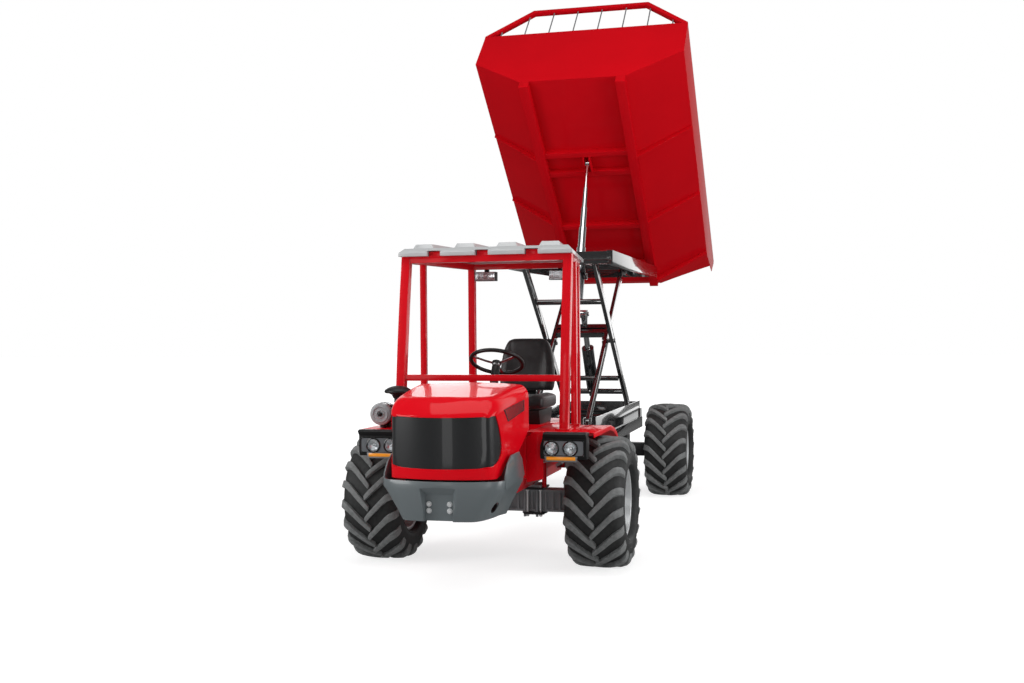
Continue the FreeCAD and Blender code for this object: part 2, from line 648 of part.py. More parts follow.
def hood_form(gap):
    """Closed form of the hood, drawn in by gap: plan, side and front outlines intersected."""
    half = HOOD_HALF_W - gap
    front = HOOD_FRONT_Y + gap
    rear = HOOD_REAR_Y
    corner = 92.0
    z0 = HOOD_Z0 - 1
    shoulder_y = front + HOOD_FRONT_BOW + corner
    p = [vec(-half, rear, z0), vec(-half, shoulder_y, z0), vec(-half + corner * 0.62, front + HOOD_FRONT_BOW * 0.5, z0),
         vec(0, front, z0), vec(half - corner * 0.62, front + HOOD_FRONT_BOW * 0.5, z0), vec(half, shoulder_y, z0),
         vec(half, rear, z0)]
    edge_l = arc_edge(p[1], vec(-half + corner * 0.16, front + HOOD_FRONT_BOW * 0.98, z0), p[2])
    edge_r = arc_edge(p[4], vec(half - corner * 0.16, front + HOOD_FRONT_BOW * 0.98, z0), p[5])
    wire = Part.Wire([Part.LineSegment(p[0], p[1]).toShape(), edge_l,
                      arc_edge(p[2], p[3], p[4]), edge_r,
                      Part.LineSegment(p[5], p[6]).toShape(), Part.LineSegment(p[6], p[0]).toShape()])
    plan = Part.Face(wire).extrude(vec(0, 0, HOOD_CREST_Z - HOOD_Z0 + 20))
    crest = HOOD_CREST_Z - gap
    lip = HOOD_LIP_Z - gap
    side_wire = Part.Wire([
        Part.LineSegment(vec(-500, front - 5, HOOD_Z0), vec(-500, front - 5, lip - 70)).toShape(),
        arc_edge(vec(-500, front - 5, lip - 70), vec(-500, front + 96, lip + 52),
                 vec(-500, front + 300, crest - 62)),
        arc_edge(vec(-500, front + 300, crest - 62), vec(-500, front + 520, crest - 14),
                 vec(-500, rear, crest)),
        Part.LineSegment(vec(-500, rear, crest), vec(-500, rear, HOOD_Z0)).toShape(),
        Part.LineSegment(vec(-500, rear, HOOD_Z0), vec(-500, front - 5, HOOD_Z0)).toShape()])
    side = Part.Face(side_wire).extrude(vec(1000, 0, 0))
    top_half = half - 64
    section = Part.Wire([
        Part.LineSegment(vec(half + 2, front - 20, HOOD_Z0 - 5), vec(half + 2, front - 20, lip - 60)).toShape(),
        arc_edge(vec(half + 2, front - 20, lip - 60), vec(top_half + 40, front - 20, lip + 72),
                 vec(top_half - 60, front - 20, crest - 16)),
        arc_edge(vec(top_half - 60, front - 20, crest - 16), vec(0, front - 20, crest + 4),
                 vec(-top_half + 60, front - 20, crest - 16)),
        arc_edge(vec(-top_half + 60, front - 20, crest - 16), vec(-top_half - 40, front - 20, lip + 72),
                 vec(-half - 2, front - 20, lip - 60)),
        Part.LineSegment(vec(-half - 2, front - 20, lip - 60), vec(-half - 2, front - 20, HOOD_Z0 - 5)).toShape(),
        Part.LineSegment(vec(-half - 2, front - 20, HOOD_Z0 - 5), vec(half + 2, front - 20, HOOD_Z0 - 5)).toShape()])
    front_form = Part.Face(section).extrude(vec(0, rear - front + 40, 0))
    return plan.common(side).common(front_form)


def grille_zone(grow):
    return box(-HOOD_HALF_W - 20, HOOD_HALF_W + 20, HOOD_FRONT_Y - 20, HOOD_FRONT_Y + GRILLE_DEPTH + grow,
               GRILLE_Z0 - grow, GRILLE_Z1 + grow)


def hood_lug():
    """Plate under the left of the hood's crest that turns on the bulkhead's pin."""
    y, z = HOOD_HINGE_Y, HOOD_HINGE_Z
    x1 = HOOD_HINGE_X - CLEARANCE / 2.0
    x0 = x1 - HOOD_HINGE_T
    top = HOOD_CREST_Z - HOOD_WALL
    plate = prism_x([(HOOD_REAR_Y - 62, top - 2), (HOOD_REAR_Y - 3, top), (y + HOOD_HINGE_R - 2, z),
                     (y - HOOD_HINGE_R + 2, z)], x0, x1)
    eye = cyl(vec(x0, y, z), vec(x1, y, z), HOOD_HINGE_R)
    hole = cyl(vec(x0 - 20, y, z), vec(x1 + 20, y, z), HOOD_PIN_R + RUNNING)
    return fuse([plate, eye]).cut(hole)


def hood_shell():
    """Moulded lid over the engine, open below and behind, with the grille's window cut."""
    inner = hood_form(HOOD_WALL)
    inner.translate(vec(0, HOOD_WALL + 1, -2))
    shell = hood_form(0.0).cut(inner).cut(hood_form(HOOD_WALL))
    rear = box(-HOOD_HALF_W + 12, HOOD_HALF_W - 12, HOOD_REAR_Y - 30, HOOD_REAR_Y + 5, HOOD_Z0 - 5,
               HOOD_CREST_Z - 60)
    return fuse([shell.cut(rear).cut(grille_zone(0.0))] + both_sides(hood_lug()))


def grille():
    """Curved grille panel that closes the hood's window."""
    band = hood_form(1.0).cut(hood_form(HOOD_WALL + 6.0))
    return band.common(grille_zone(-FIT))


# --- cab platform -----------------------------------------------------------------------

def hood_hinge_ear():
    """Plate on the left of the bulkhead, with the pin on which the hood opens."""
    y, z = HOOD_HINGE_Y, HOOD_HINGE_Z
    x0, x1 = HOOD_HINGE_X, HOOD_HINGE_X + HOOD_HINGE_T
    plate = prism_x([(CAB_FRONT_Y + 1, FENDER_TOP_Z + 96), (CAB_FRONT_Y + PLATE_T, FENDER_TOP_Z + 140),
                     (y + HOOD_HINGE_R - 2, z), (y - HOOD_HINGE_R + 2, z)], x0, x1)
    eye = cyl(vec(x0, y, z), vec(x1, y, z), HOOD_HINGE_R)
    pin = cyl(vec(x0 - HOOD_HINGE_T - CLEARANCE, y, z), vec(x1, y, z), HOOD_PIN_R)
    return fuse([plate, eye, pin])


def cab_platform():
    """Footwell, front bulkhead and the box under the seat, all of folded plate."""
    side_low = FRAME_TOP_Z + 1
    floor_low = FLOOR_Z - PLATE_T
    joint_y = REAR_FRAME_FRONT_Y - CLEARANCE
    solids = [box(-CAB_HALF_W, CAB_HALF_W, CAB_FRONT_Y, CAB_REAR_Y, floor_low, FLOOR_Z)]
    bulkhead = [(-CAB_HALF_W, side_low), (CAB_HALF_W, side_low), (CAB_HALF_W, FENDER_TOP_Z - PLATE_T),
                (300, FENDER_TOP_Z + 150), (-300, FENDER_TOP_Z + 150), (-CAB_HALF_W, FENDER_TOP_Z - PLATE_T)]
    solids.append(prism_y(bulkhead, CAB_FRONT_Y, CAB_FRONT_Y + PLATE_T))
    for side in (1, -1):
        lo, hi = sorted((side * (CAB_HALF_W - PLATE_T), side * CAB_HALF_W))
        wall = [(CAB_FRONT_Y, side_low), (joint_y, side_low), (joint_y, floor_low),
                (CAB_REAR_Y, floor_low), (CAB_REAR_Y, 860), (700, 860),
                (FENDER_REAR_Y, FENDER_REAR_Z), (FENDER_FLAT_Y + 120, FENDER_TOP_Z - PLATE_T),
                (CAB_FRONT_Y, FENDER_TOP_Z - PLATE_T)]
        solids.append(prism_x(wall, lo, hi))
        lo, hi = sorted((side * 238.0, side * 300.0))
        solids.append(box(lo, hi, CAB_FRONT_Y, joint_y, FRAME_TOP_Z + FIT, floor_low + 1))
    seat_box = box(-268, 268, SEAT_BOX_Y, CAB_REAR_Y - 60, FLOOR_Z - 1, SEAT_BOX_Z)
    solids.append(seat_box.cut(box(-262, 262, SEAT_BOX_Y + 6, CAB_REAR_Y - 66, FLOOR_Z, SEAT_BOX_Z - 6)))
    post_pad = box(REAR_POST_X - 60, REAR_POST_X + 40, REAR_POST_Y - 60, REAR_POST_Y + 60, 852, 860)
    arm = box(CAB_HALF_W - PLATE_T, REAR_POST_X + 40, REAR_POST_Y - 60, REAR_POST_Y + 60, 840, 856)
    solids += both_sides(fuse([post_pad, arm])) + both_sides(hood_hinge_ear())
    return fuse(solids)


def fender():
    """Left fender: flat over the tyre, falling at the back, with a turned-down outer edge."""
    line = [(FENDER_FRONT_Y, FENDER_TOP_Z), (FENDER_FLAT_Y, FENDER_TOP_Z),
            (FENDER_FLAT_Y + 150, FENDER_TOP_Z - 24), (FENDER_FLAT_Y + 260, FENDER_TOP_Z - 66),
            (FENDER_REAR_Y, FENDER_REAR_Z)]
    sheet = prism_x(line + offset_chain(line, -PLATE_T)[::-1], CAB_HALF_W + FIT, FENDER_OUT_X)
    skirt = prism_x(line + offset_chain(line, -FENDER_SKIRT)[::-1], FENDER_OUT_X - PLATE_T, FENDER_OUT_X)
    inner = prism_x(line + offset_chain(line, -FENDER_SKIRT)[::-1], CAB_HALF_W + FIT, CAB_HALF_W + FIT + PLATE_T)
    return fuse([sheet, skirt, inner])


def headlamp_housing():
    """Left lamp housing: a moulded box with a peaked brow and two round wells."""
    outline = [(HEADLAMP_FRONT_Y, HEADLAMP_Z0 + 26), (HEADLAMP_FRONT_Y + 14, HEADLAMP_Z0),
               (HEADLAMP_FRONT_Y + 62, HEADLAMP_Z0), (FENDER_FRONT_Y - FIT, HEADLAMP_Z0 + 70),
               (FENDER_FRONT_Y - FIT, HEADLAMP_Z1 - 6), (HEADLAMP_FRONT_Y - 6, HEADLAMP_Z1),
               (HEADLAMP_FRONT_Y - 26, HEADLAMP_Z1 - 12), (HEADLAMP_FRONT_Y, HEADLAMP_Z1 - 40)]
    body = prism_x(outline, HEADLAMP_IN_X, HEADLAMP_OUT_X)
    corner = [(HEADLAMP_IN_X - 5, HEADLAMP_Z0 + 70), (HEADLAMP_IN_X - 5, HEADLAMP_Z1 + 5),
              (HEADLAMP_IN_X + 30, HEADLAMP_Z1 + 5)]
    body = body.cut(prism_y(corner, HEADLAMP_FRONT_Y - 40, FENDER_FRONT_Y + 5))
    for x in HEADLAMP_LENS_X:
        start = vec(x, HEADLAMP_FRONT_Y - 40, HEADLAMP_LENS_Z)
        body = body.cut(cyl(start, start + vec(0, 72, 0), HEADLAMP_LENS_R + FIT))
    mid = (HEADLAMP_LENS_X[0] + HEADLAMP_LENS_X[1]) / 2.0
    body = body.cut(box(mid - INDICATOR_W / 2.0 - FIT, mid + INDICATOR_W / 2.0 + FIT, HEADLAMP_FRONT_Y - 20,
                        HEADLAMP_FRONT_Y + 24, HEADLAMP_Z0 - 5, HEADLAMP_Z0 + INDICATOR_H))
    return body


def headlamp_lens():
    """Two domed round lamps of the left housing."""
    solids = []
    for x in HEADLAMP_LENS_X:
        y = HEADLAMP_FRONT_Y + 32 - FIT
        cup = cyl(vec(x, y, HEADLAMP_LENS_Z), vec(x, HEADLAMP_FRONT_Y + 4, HEADLAMP_LENS_Z), HEADLAMP_LENS_R)
        solids.append(cup)
    return Part.Compound(solids)


def indicator():
    mid = (HEADLAMP_LENS_X[0] + HEADLAMP_LENS_X[1]) / 2.0
    return box(mid - INDICATOR_W / 2.0, mid + INDICATOR_W / 2.0, HEADLAMP_FRONT_Y + 2,
               HEADLAMP_FRONT_Y + 24 - FIT, HEADLAMP_Z0 - 3, HEADLAMP_Z0 + INDICATOR_H - FIT)


# --- rollover frame ---------------------------------------------------------------------

def bow(y0, z0, y1, z1, y2, z2, depth, x0, x1):
    """Upright of the given depth along a circular arc through three (y, z) points."""
    det = 2 * ((y1 - y0) * (z2 - z0) - (y2 - y0) * (z1 - z0))
    q1 = (y1 - y0) ** 2 + (z1 - z0) ** 2
    q2 = (y2 - y0) ** 2 + (z2 - z0) ** 2
    cy = y0 + ((z2 - z0) * q1 - (z1 - z0) * q2) / det
    cz = z0 + ((y1 - y0) * q2 - (y2 - y0) * q1) / det
    radius = hypot(y0 - cy, z0 - cz)

    def at(y, z, r):
        return vec(x0, cy + (y - cy) * r / radius, cz + (z - cz) * r / radius)

    rings = []
    for r in (radius - depth / 2.0, radius + depth / 2.0):
        rings.append([at(y, z, r) for y, z in ((y0, z0), (y1, z1), (y2, z2))])
    wire = Part.Wire([arc_edge(*rings[0]), Part.LineSegment(rings[0][2], rings[1][2]).toShape(),
                      arc_edge(*rings[1][::-1]), Part.LineSegment(rings[1][0], rings[0][0]).toShape()])
    return Part.Face(wire).extrude(vec(x1 - x0, 0, 0))


def rollover_frame():
    """Welded square-tube frame: curved front posts, thin middle posts and narrower rear posts."""
    foot_z = FENDER_TOP_Z + FIT
    top_z = RAIL_Z0 + RAIL_H
    post = bow(POST_FOOT_Y, foot_z, POST_MID_Y, POST_MID_Z, POST_TOP_Y, top_z, POST_D,
               POST_X - POST_W / 2.0, POST_X + POST_W / 2.0)
    post = post.common(box(0, 1000, -600, 400, foot_z, top_z))
    foot = box(POST_X - 52, POST_X + 46, POST_FOOT_Y - 58, POST_FOOT_Y + 64, foot_z, foot_z + 10)
    mid = box(MID_POST_X - MID_POST_W / 2.0, MID_POST_X + MID_POST_W / 2.0, MID_POST_Y - MID_POST_W / 2.0,
              MID_POST_Y + MID_POST_W / 2.0, foot_z, RAIL_Z0 + 2)
    mid_foot = box(MID_POST_X - 40, MID_POST_X + 40, MID_POST_Y - 44, MID_POST_Y + 2, foot_z, foot_z + 8)
    rear_foot_z = 860 + FIT
    rear = box(REAR_POST_X - REAR_POST_W / 2.0, REAR_POST_X + REAR_POST_W / 2.0,
               REAR_POST_Y - REAR_POST_W / 2.0, REAR_POST_Y + REAR_POST_W / 2.0, rear_foot_z, top_z)
    side_rail = bar_between(vec(POST_X, POST_TOP_Y, RAIL_Z0 + RAIL_H / 2.0),
                            vec(REAR_POST_X, REAR_POST_Y, RAIL_Z0 + RAIL_H / 2.0), POST_W - 8, RAIL_H)
    solids = []
    for piece in (post, foot, mid, mid_foot, rear, side_rail):
        solids += both_sides(piece)
    half = POST_X + POST_W / 2.0
    solids.append(box(-half, half, POST_TOP_Y - POST_D / 2.0, POST_TOP_Y + POST_D / 2.0, RAIL_Z0, top_z))
    solids.append(box(-REAR_POST_X, REAR_POST_X, REAR_POST_Y - 22, REAR_POST_Y + 22, RAIL_Z0, top_z))
    bar_y = POST_FOOT_Y + (POST_MID_Y - POST_FOOT_Y) * (CROSSBAR_Z - foot_z) / (POST_MID_Z - foot_z)
    solids.append(box(-POST_X, POST_X, bar_y - 21, bar_y + 21, CROSSBAR_Z - CROSSBAR_H / 2.0,
                      CROSSBAR_Z + CROSSBAR_H / 2.0))
    return fuse(solids)


def roof_outline(gap, z):
    front = ROOF_FRONT_X - gap
    rear = ROOF_REAR_X - gap
    return Part.makePolygon([vec(-front, ROOF_FRONT_Y + gap, z), vec(front, ROOF_FRONT_Y + gap, z),
                             vec(rear, ROOF_REAR_Y - gap, z), vec(-rear, ROOF_REAR_Y - gap, z),
                             vec(-front, ROOF_FRONT_Y + gap, z)])


def roof_panel():
    """Moulded sheet roof with raised lengthwise ribs, narrowing to the back."""
    z0 = RAIL_Z0 + RAIL_H + FIT
    skin = Part.makeLoft([roof_outline(0, z0), roof_outline(0, z0 + ROOF_T * 0.45),
                          roof_outline(34, z0 + ROOF_T)], True, True)
    solids = [skin]
    span = 2 * (ROOF_REAR_X - 60)
    width = span / (2 * ROOF_RIB_COUNT - 1)
    for i in range(ROOF_RIB_COUNT):
        x = -ROOF_REAR_X + 60 + 2 * i * width
        fan = (ROOF_FRONT_X - 90) / (ROOF_REAR_X - 60)
        base = [vec(x * fan, ROOF_FRONT_Y + 50, 0), vec((x + width) * fan, ROOF_FRONT_Y + 50, 0),
                vec(x + width, ROOF_REAR_Y - 60, 0), vec(x, ROOF_REAR_Y - 60, 0)]
        rows = []
        for rise, gap in ((ROOF_T - 2, 0.0), (ROOF_T + ROOF_RIB_H, 16.0)):
            corner = [(gap, gap), (-gap, gap), (-gap, -gap), (gap, -gap)]
            ring = [p + vec(dx, dy, z0 + rise) for p, (dx, dy) in zip(base, corner)]
            rows.append(Part.makePolygon(ring + [ring[0]]))
        solids.append(Part.makeLoft(rows, True, True))
    return fuse(solids)


def work_lamps():
    """Two rectangular lamps hung from the rear rail."""
    solids = []
    z1 = RAIL_Z0 - FIT
    for side in (1, -1):
        x = side * WORK_LAMP_X
        lamp = box(x - WORK_LAMP_W / 2.0, x + WORK_LAMP_W / 2.0, REAR_POST_Y - 46, REAR_POST_Y + 20,
                   z1 - 18 - WORK_LAMP_H, z1 - 18)
        stem = box(x - 16, x + 16, REAR_POST_Y - 16, REAR_POST_Y + 16, z1 - 20, z1)
        solids.append(fuse([lamp, stem]))
    return Part.Compound(solids)


# --- driver's place ---------------------------------------------------------------------

def column_axis():
    a = radians(COLUMN_TILT)
    return vec(0, sin(a), cos(a))


def steering_column():
    """Column from the floor, with the dashboard binnacle round it."""
    top = vec(0, WHEEL_CENTRE_Y, WHEEL_CENTRE_Z) - column_axis() * (WHEEL_HUB_BACK + FIT)
    low = top - column_axis() * COLUMN_LEN
    stem = cyl(low, top, COLUMN_R)
    foot = box(-60, 60, low.y - 60, low.y + 40, FLOOR_Z + FIT, low.z + 20)
    dash_y = CAB_FRONT_Y + PLATE_T + FIT
    dash = prism_x([(dash_y, FENDER_TOP_Z - 120), (dash_y, 1172),
                    (HOOD_REAR_Y + 200, 1226), (HOOD_REAR_Y + 330, 1190), (HOOD_REAR_Y + 300, 1080),
                    (HOOD_REAR_Y + 120, FENDER_TOP_Z - 120)], -236, 236)
    return fuse([stem, foot, dash])


def steering_wheel():
    """Grip ring, three spokes and a hub on the tilted column axis."""
    centre = vec(0, WHEEL_CENTRE_Y, WHEEL_CENTRE_Z)
    ring = Part.makeTorus(WHEEL_R - WHEEL_GRIP_R, WHEEL_GRIP_R, vec(0, 0, 0), vec(0, 0, 1))
    solids = [ring, cyl(vec(0, 0, -WHEEL_HUB_BACK), vec(0, 0, 6), 34)]
    for k in range(3):
        a = radians(90 + 120 * k)
        solids.append(bar_between(vec(20 * cos(a), 20 * sin(a), -14),
                                  vec((WHEEL_R - WHEEL_GRIP_R) * cos(a), (WHEEL_R - WHEEL_GRIP_R) * sin(a), -2),
                                  30, 8))
    wheel = fuse(solids)
    wheel.rotate(vec(0, 0, 0), vec(1, 0, 0), -COLUMN_TILT)
    wheel.translate(centre)
    return wheel


def rounded_slab(x_half, y0, y1, z0, z1, radius):
    slab = box(-x_half, x_half, y0, y1, z0, z1)
    return slab.makeFillet(radius, slab.Edges)


def seat_cushion():
    return rounded_slab(SEAT_HALF_W, SEAT_FRONT_Y, SEAT_BACK_Y, SEAT_PAN_Z, SEAT_PAN_Z + SEAT_CUSHION_T, 34)


SEAT_BACK_LOW_Z = SEAT_PAN_Z + SEAT_CUSHION_T + 2.0
SEAT_BACK_REAR_Y = SEAT_BACK_Y - 70.0 + SEAT_BACK_T


def lean_back(shape):
    """Turn a shape drawn with the seat's back upright to the back's lean."""
    shape.rotate(vec(0, SEAT_BACK_Y - 22, SEAT_BACK_LOW_Z), vec(1, 0, 0), -SEAT_BACK_LEAN)
    shape.translate(vec(0, 0, 9))
    return shape


def seat_back():
    return lean_back(rounded_slab(SEAT_HALF_W - 10, SEAT_BACK_REAR_Y - SEAT_BACK_T, SEAT_BACK_REAR_Y,
                                  SEAT_BACK_LOW_Z, SEAT_BACK_TOP_Z, 36))


def seat_base():
    """Suspension housing between the seat box and the cushion, with the back's bracket."""
    low = SEAT_BOX_Z + FIT
    base = prism_x([(SEAT_FRONT_Y + 60, low), (SEAT_BACK_Y - 40, low), (SEAT_BACK_Y + 20, SEAT_PAN_Z - FIT),
                    (SEAT_FRONT_Y + 20, SEAT_PAN_Z - FIT)], -190, 190)
    bracket = box(-60, 60, SEAT_BACK_REAR_Y + FIT, SEAT_BACK_REAR_Y + 12, SEAT_BACK_LOW_Z - 160,
                  SEAT_BACK_LOW_Z + 210)
    return fuse([base, lean_back(bracket)])


# --- air cleaner ------------------------------------------------------------------------

def air_cleaner():
    """Canister along the right fender, its duct and the domed intake cap."""
    y1 = CLEANER_FRONT_Y + CLEANER_LEN
    can = cyl(vec(CLEANER_X, CLEANER_FRONT_Y, CLEANER_Z), vec(CLEANER_X, y1, CLEANER_Z), CLEANER_R)
    saddle = box(CLEANER_X - 40, CLEANER_X + 40, CLEANER_FRONT_Y + 90, CLEANER_FRONT_Y + 130,
                 FENDER_TOP_Z + FIT, CLEANER_Z - 20)
    return fuse([can, saddle])


def air_intake():
    """Upright intake pipe with its mushroom cap, standing on the right fender."""
    foot = FENDER_TOP_Z + FIT
    profile = [(0, foot), (24, foot), (24, INTAKE_CAP_Z - 40), (INTAKE_CAP_R, INTAKE_CAP_Z - 26),
               (INTAKE_CAP_R, INTAKE_CAP_Z - 10), (INTAKE_CAP_R - 20, INTAKE_CAP_Z + 14), (0, INTAKE_CAP_Z + 22)]
    face = face_of([vec(INTAKE_X + r, INTAKE_Y, z) for r, z in profile])
    return face.revolve(vec(INTAKE_X, INTAKE_Y, 0), vec(0, 0, 1), 360)


# --- scissor ----------------------------------------------------------------------------

ARM_ANGLE = degrees(atan2(SCISSOR_RISE, SCISSOR_SPREAD))
ARM_LEN = hypot(SCISSOR_RISE, SCISSOR_SPREAD)
SCISSOR_MID_Y = SCISSOR_FRONT_Y + SCISSOR_SPREAD / 2.0
SCISSOR_MID_Z = SCISSOR_LOW_Z + SCISSOR_RISE / 2.0
SCISSOR_TOP_Z = SCISSOR_LOW_Z + SCISSOR_RISE


def along_outer(d, off=0.0):
    """Point on the outer arm, d from the middle pin towards its low rear end."""
    a = radians(ARM_ANGLE)
    return (SCISSOR_MID_Y + d * cos(a) + off * sin(a), SCISSOR_MID_Z - d * sin(a) + off * cos(a))


def along_inner(d, off=0.0):
    """Point on the inner arm, d from the middle pin towards its high rear end."""
    a = radians(ARM_ANGLE)
    return (SCISSOR_MID_Y + d * cos(a) - off * sin(a), SCISSOR_MID_Z + d * sin(a) + off * cos(a))


def arm(point_at, x_mid):
    """Left arm plate with rounded ends, following point_at over the arm's length."""
    half = ARM_LEN / 2.0
    y0, z0 = point_at(-half)
    y1, z1 = point_at(half)
    x0 = x_mid - ARM_T / 2.0
    x1 = x_mid + ARM_T / 2.0
    beam = prism_x(strip([(y0, z0), (y1, z1)], ARM_DEPTH), x0, x1)
    ends = [cyl(vec(x0, y, z), vec(x1, y, z), ROLLER_R) for y, z in ((y0, z0), (y1, z1))]
    return fuse([beam] + ends)


def outer_arms():
    """Outer pair: pinned to the top frame in front, on rollers in the chassis tracks behind."""
    solids = []
    for side in (1, -1):
        plate = arm(along_outer, OUTER_ARM_X)
        y, z = along_outer(-ARM_LEN / 2.0)
        for py, pz in ((y, z), (SCISSOR_MID_Y, SCISSOR_MID_Z)):
            plate = plate.cut(cyl(vec(200, py, pz), vec(500, py, pz), ARM_PIN_R + RUNNING))
        solids.append(plate if side > 0 else mirror_x(plate))
    reach = OUTER_ARM_X - ARM_T / 2.0 + 2.0
    for d, off in ((-557.0, 20.0), (520.0, -(ARM_DEPTH / 2.0 + CROSS_TUBE_R - 6))):
        y, z = along_outer(d, off)
        solids.append(cyl(vec(-reach, y, z), vec(reach, y, z), CROSS_TUBE_R))
    y, z = along_outer(LIFT_BASE_D)
    solids.append(cyl(vec(-reach, y, z), vec(reach, y, z), LIFT_PIN_R))
    return fuse(solids)


def inner_arms():
    """Inner pair: pinned to the chassis in front, on rollers under the top frame behind."""
    solids = []
    for side in (1, -1):
        plate = arm(along_inner, INNER_ARM_X)
        y, z = along_inner(-ARM_LEN / 2.0)
        plate = plate.cut(cyl(vec(200, y, z), vec(500, y, z), ARM_PIN_R + RUNNING))
        pin = cyl(vec(INNER_ARM_X - 10, SCISSOR_MID_Y, SCISSOR_MID_Z),
                  vec(OUTER_ARM_X + ARM_T / 2.0 + 10, SCISSOR_MID_Y, SCISSOR_MID_Z), ARM_PIN_R)
        boss = cyl(vec(INNER_ARM_X - ARM_T / 2.0 - 16, SCISSOR_MID_Y, SCISSOR_MID_Z),
                   vec(INNER_ARM_X, SCISSOR_MID_Y, SCISSOR_MID_Z), 40)
        plate = fuse([plate, pin, boss])
        solids.append(plate if side > 0 else mirror_x(plate))
    reach = INNER_ARM_X - ARM_T / 2.0 + 2.0
    half = LIFT_BEAM_W / 2.0
    for d in LIFT_BEAM_D:
        line = [along_inner(d - half, LIFT_BEAM_OFFSET), along_inner(d + half, LIFT_BEAM_OFFSET)]
        solids.append(prism_x(strip(line, LIFT_BEAM_W), -reach, reach))
    return fuse(solids + lift_eye_ears())


def lift_eye_ears():
    """Bracket that stands on the twin beams and holds the lift rod's eye, with its pin stubs."""
    solids = []
    foot = LIFT_BEAM_OFFSET + LIFT_BEAM_W / 2.0 - 4.0
    front = LIFT_BEAM_D[1] - LIFT_BEAM_W / 2.0
    rear = LIFT_BEAM_D[1] + LIFT_BEAM_W / 2.0
    y, z = along_inner(LIFT_EYE_D, LIFT_EYE_OFFSET)
    for side in (1, -1):
        inside = side * (LIFT_EYE_HALF_W + ROD_SIDE_GAP)
        lo, hi = sorted((inside, inside + side * EAR_T))
        web = [along_inner(front, foot), along_inner(rear, foot),
               along_inner(LIFT_EYE_D + 0.72 * LIFT_EYE_R, LIFT_EYE_OFFSET - 0.68 * LIFT_EYE_R),
               along_inner(LIFT_EYE_D - 0.68 * LIFT_EYE_R, LIFT_EYE_OFFSET + 0.72 * LIFT_EYE_R)]
        solids.append(prism_x(web, lo, hi))
        solids.append(cyl(vec(lo, y, z), vec(hi, y, z), LIFT_EYE_R))
        solids.append(cyl(vec(inside, y, z), vec(inside + side * 2 * EAR_T, y, z), ARM_PIN_R))
    return solids


def lift_line():
    """The lift cylinder's base pin and rod eye at rest, as (y, z)."""
    return along_outer(LIFT_BASE_D), along_inner(LIFT_EYE_D, LIFT_EYE_OFFSET)


def lift_point(d, x=0.0):
    (y0, z0), (y1, z1) = lift_line()
    length = hypot(y1 - y0, z1 - z0)
    return vec(x, y0 + (y1 - y0) * d / length, z0 + (z1 - z0) * d / length)


def lift_barrel():
    y, z = along_outer(LIFT_BASE_D)
    eye = cyl(vec(-34, y, z), vec(34, y, z), 52)
    body = cyl(lift_point(44), lift_point(44 + LIFT_BARREL_LEN), LIFT_BARREL_R)
    bore = cyl(lift_point(76), lift_point(60 + LIFT_BARREL_LEN), LIFT_ROD_R + ROD_GAP)
    hole = cyl(vec(-60, y, z), vec(60, y, z), LIFT_PIN_R + RUNNING)
    return fuse([eye, body]).cut(hole).cut(bore)


def lift_rod():
    (y0, z0), (y1, z1) = lift_line()
    length = hypot(y1 - y0, z1 - z0)
    rod = cyl(lift_point(length - LIFT_ROD_LEN), lift_point(length), LIFT_ROD_R)
    eye = cyl(vec(-LIFT_EYE_HALF_W, y1, z1), vec(LIFT_EYE_HALF_W, y1, z1), LIFT_EYE_R)
    return fuse([rod, eye])


# --- top frame --------------------------------------------------------------------------

def top_ears():
    """Plates and pins that carry the outer arms' front ends."""
    solids = []
    gap = CLEARANCE / 2.0
    inside = OUTER_ARM_X - ARM_T / 2.0 - gap
    outside = OUTER_ARM_X + ARM_T / 2.0 + gap
    for x0 in (inside - EAR_T, outside):
        solids.append(box(x0, x0 + EAR_T, TOP_FRONT_Y + TOP_CROSS_D - 1, SCISSOR_FRONT_Y + 50,
                          TOP_Z0 + 6, TOP_Z1 - 8))
    solids.append(cyl(vec(inside - EAR_T, SCISSOR_FRONT_Y, SCISSOR_TOP_Z),
                      vec(outside + EAR_T, SCISSOR_FRONT_Y, SCISSOR_TOP_Z), ARM_PIN_R))
    return fuse(solids)


def roller_guide(rear):
    """Angle on the frame under which an inner arm's rear roller runs."""
    web = INNER_ARM_X + ARM_T / 2.0 + CLEARANCE
    mouth = INNER_ARM_X - ARM_T / 2.0
    low = SCISSOR_TOP_Z - ROLLER_R - ROLL_GAP
    high = SCISSOR_TOP_Z + ROLLER_R + ROLL_GAP
    outline = [(web, low), (web + TRACK_WALL, low), (web + TRACK_WALL, high + TRACK_WALL),
               (mouth, high + TRACK_WALL), (mouth, high), (web, high)]
    return prism_y(outline, GUIDE_FRONT_Y, rear)


def tip_cradle():
    """Plate with the trunnion bearing of the tipping cylinder, left of the middle."""
    back = TIP_BASE_Y - TIP_BARREL_R - 30 - TOP_CROSS_D
    outline = [(back, TOP_Z1 - 6), (back + TOP_CROSS_D, TOP_Z1 - 6), (TIP_BASE_Y + 34, TOP_Z1 - 70),
               (TIP_BASE_Y + 34, TIP_BASE_Z - 24), (TIP_BASE_Y - 34, TIP_BASE_Z - 24), (back, TOP_Z1 - TOP_BRIDGE_H)]
    plate = prism_x(outline, TRUNNION_X, TRUNNION_X + CRADLE_T)
    hole = cyl(vec(TRUNNION_X - 20, TIP_BASE_Y, TIP_BASE_Z),
               vec(TRUNNION_X + CRADLE_T + 20, TIP_BASE_Y, TIP_BASE_Z), TRUNNION_R + RUNNING)
    return plate.cut(hole)


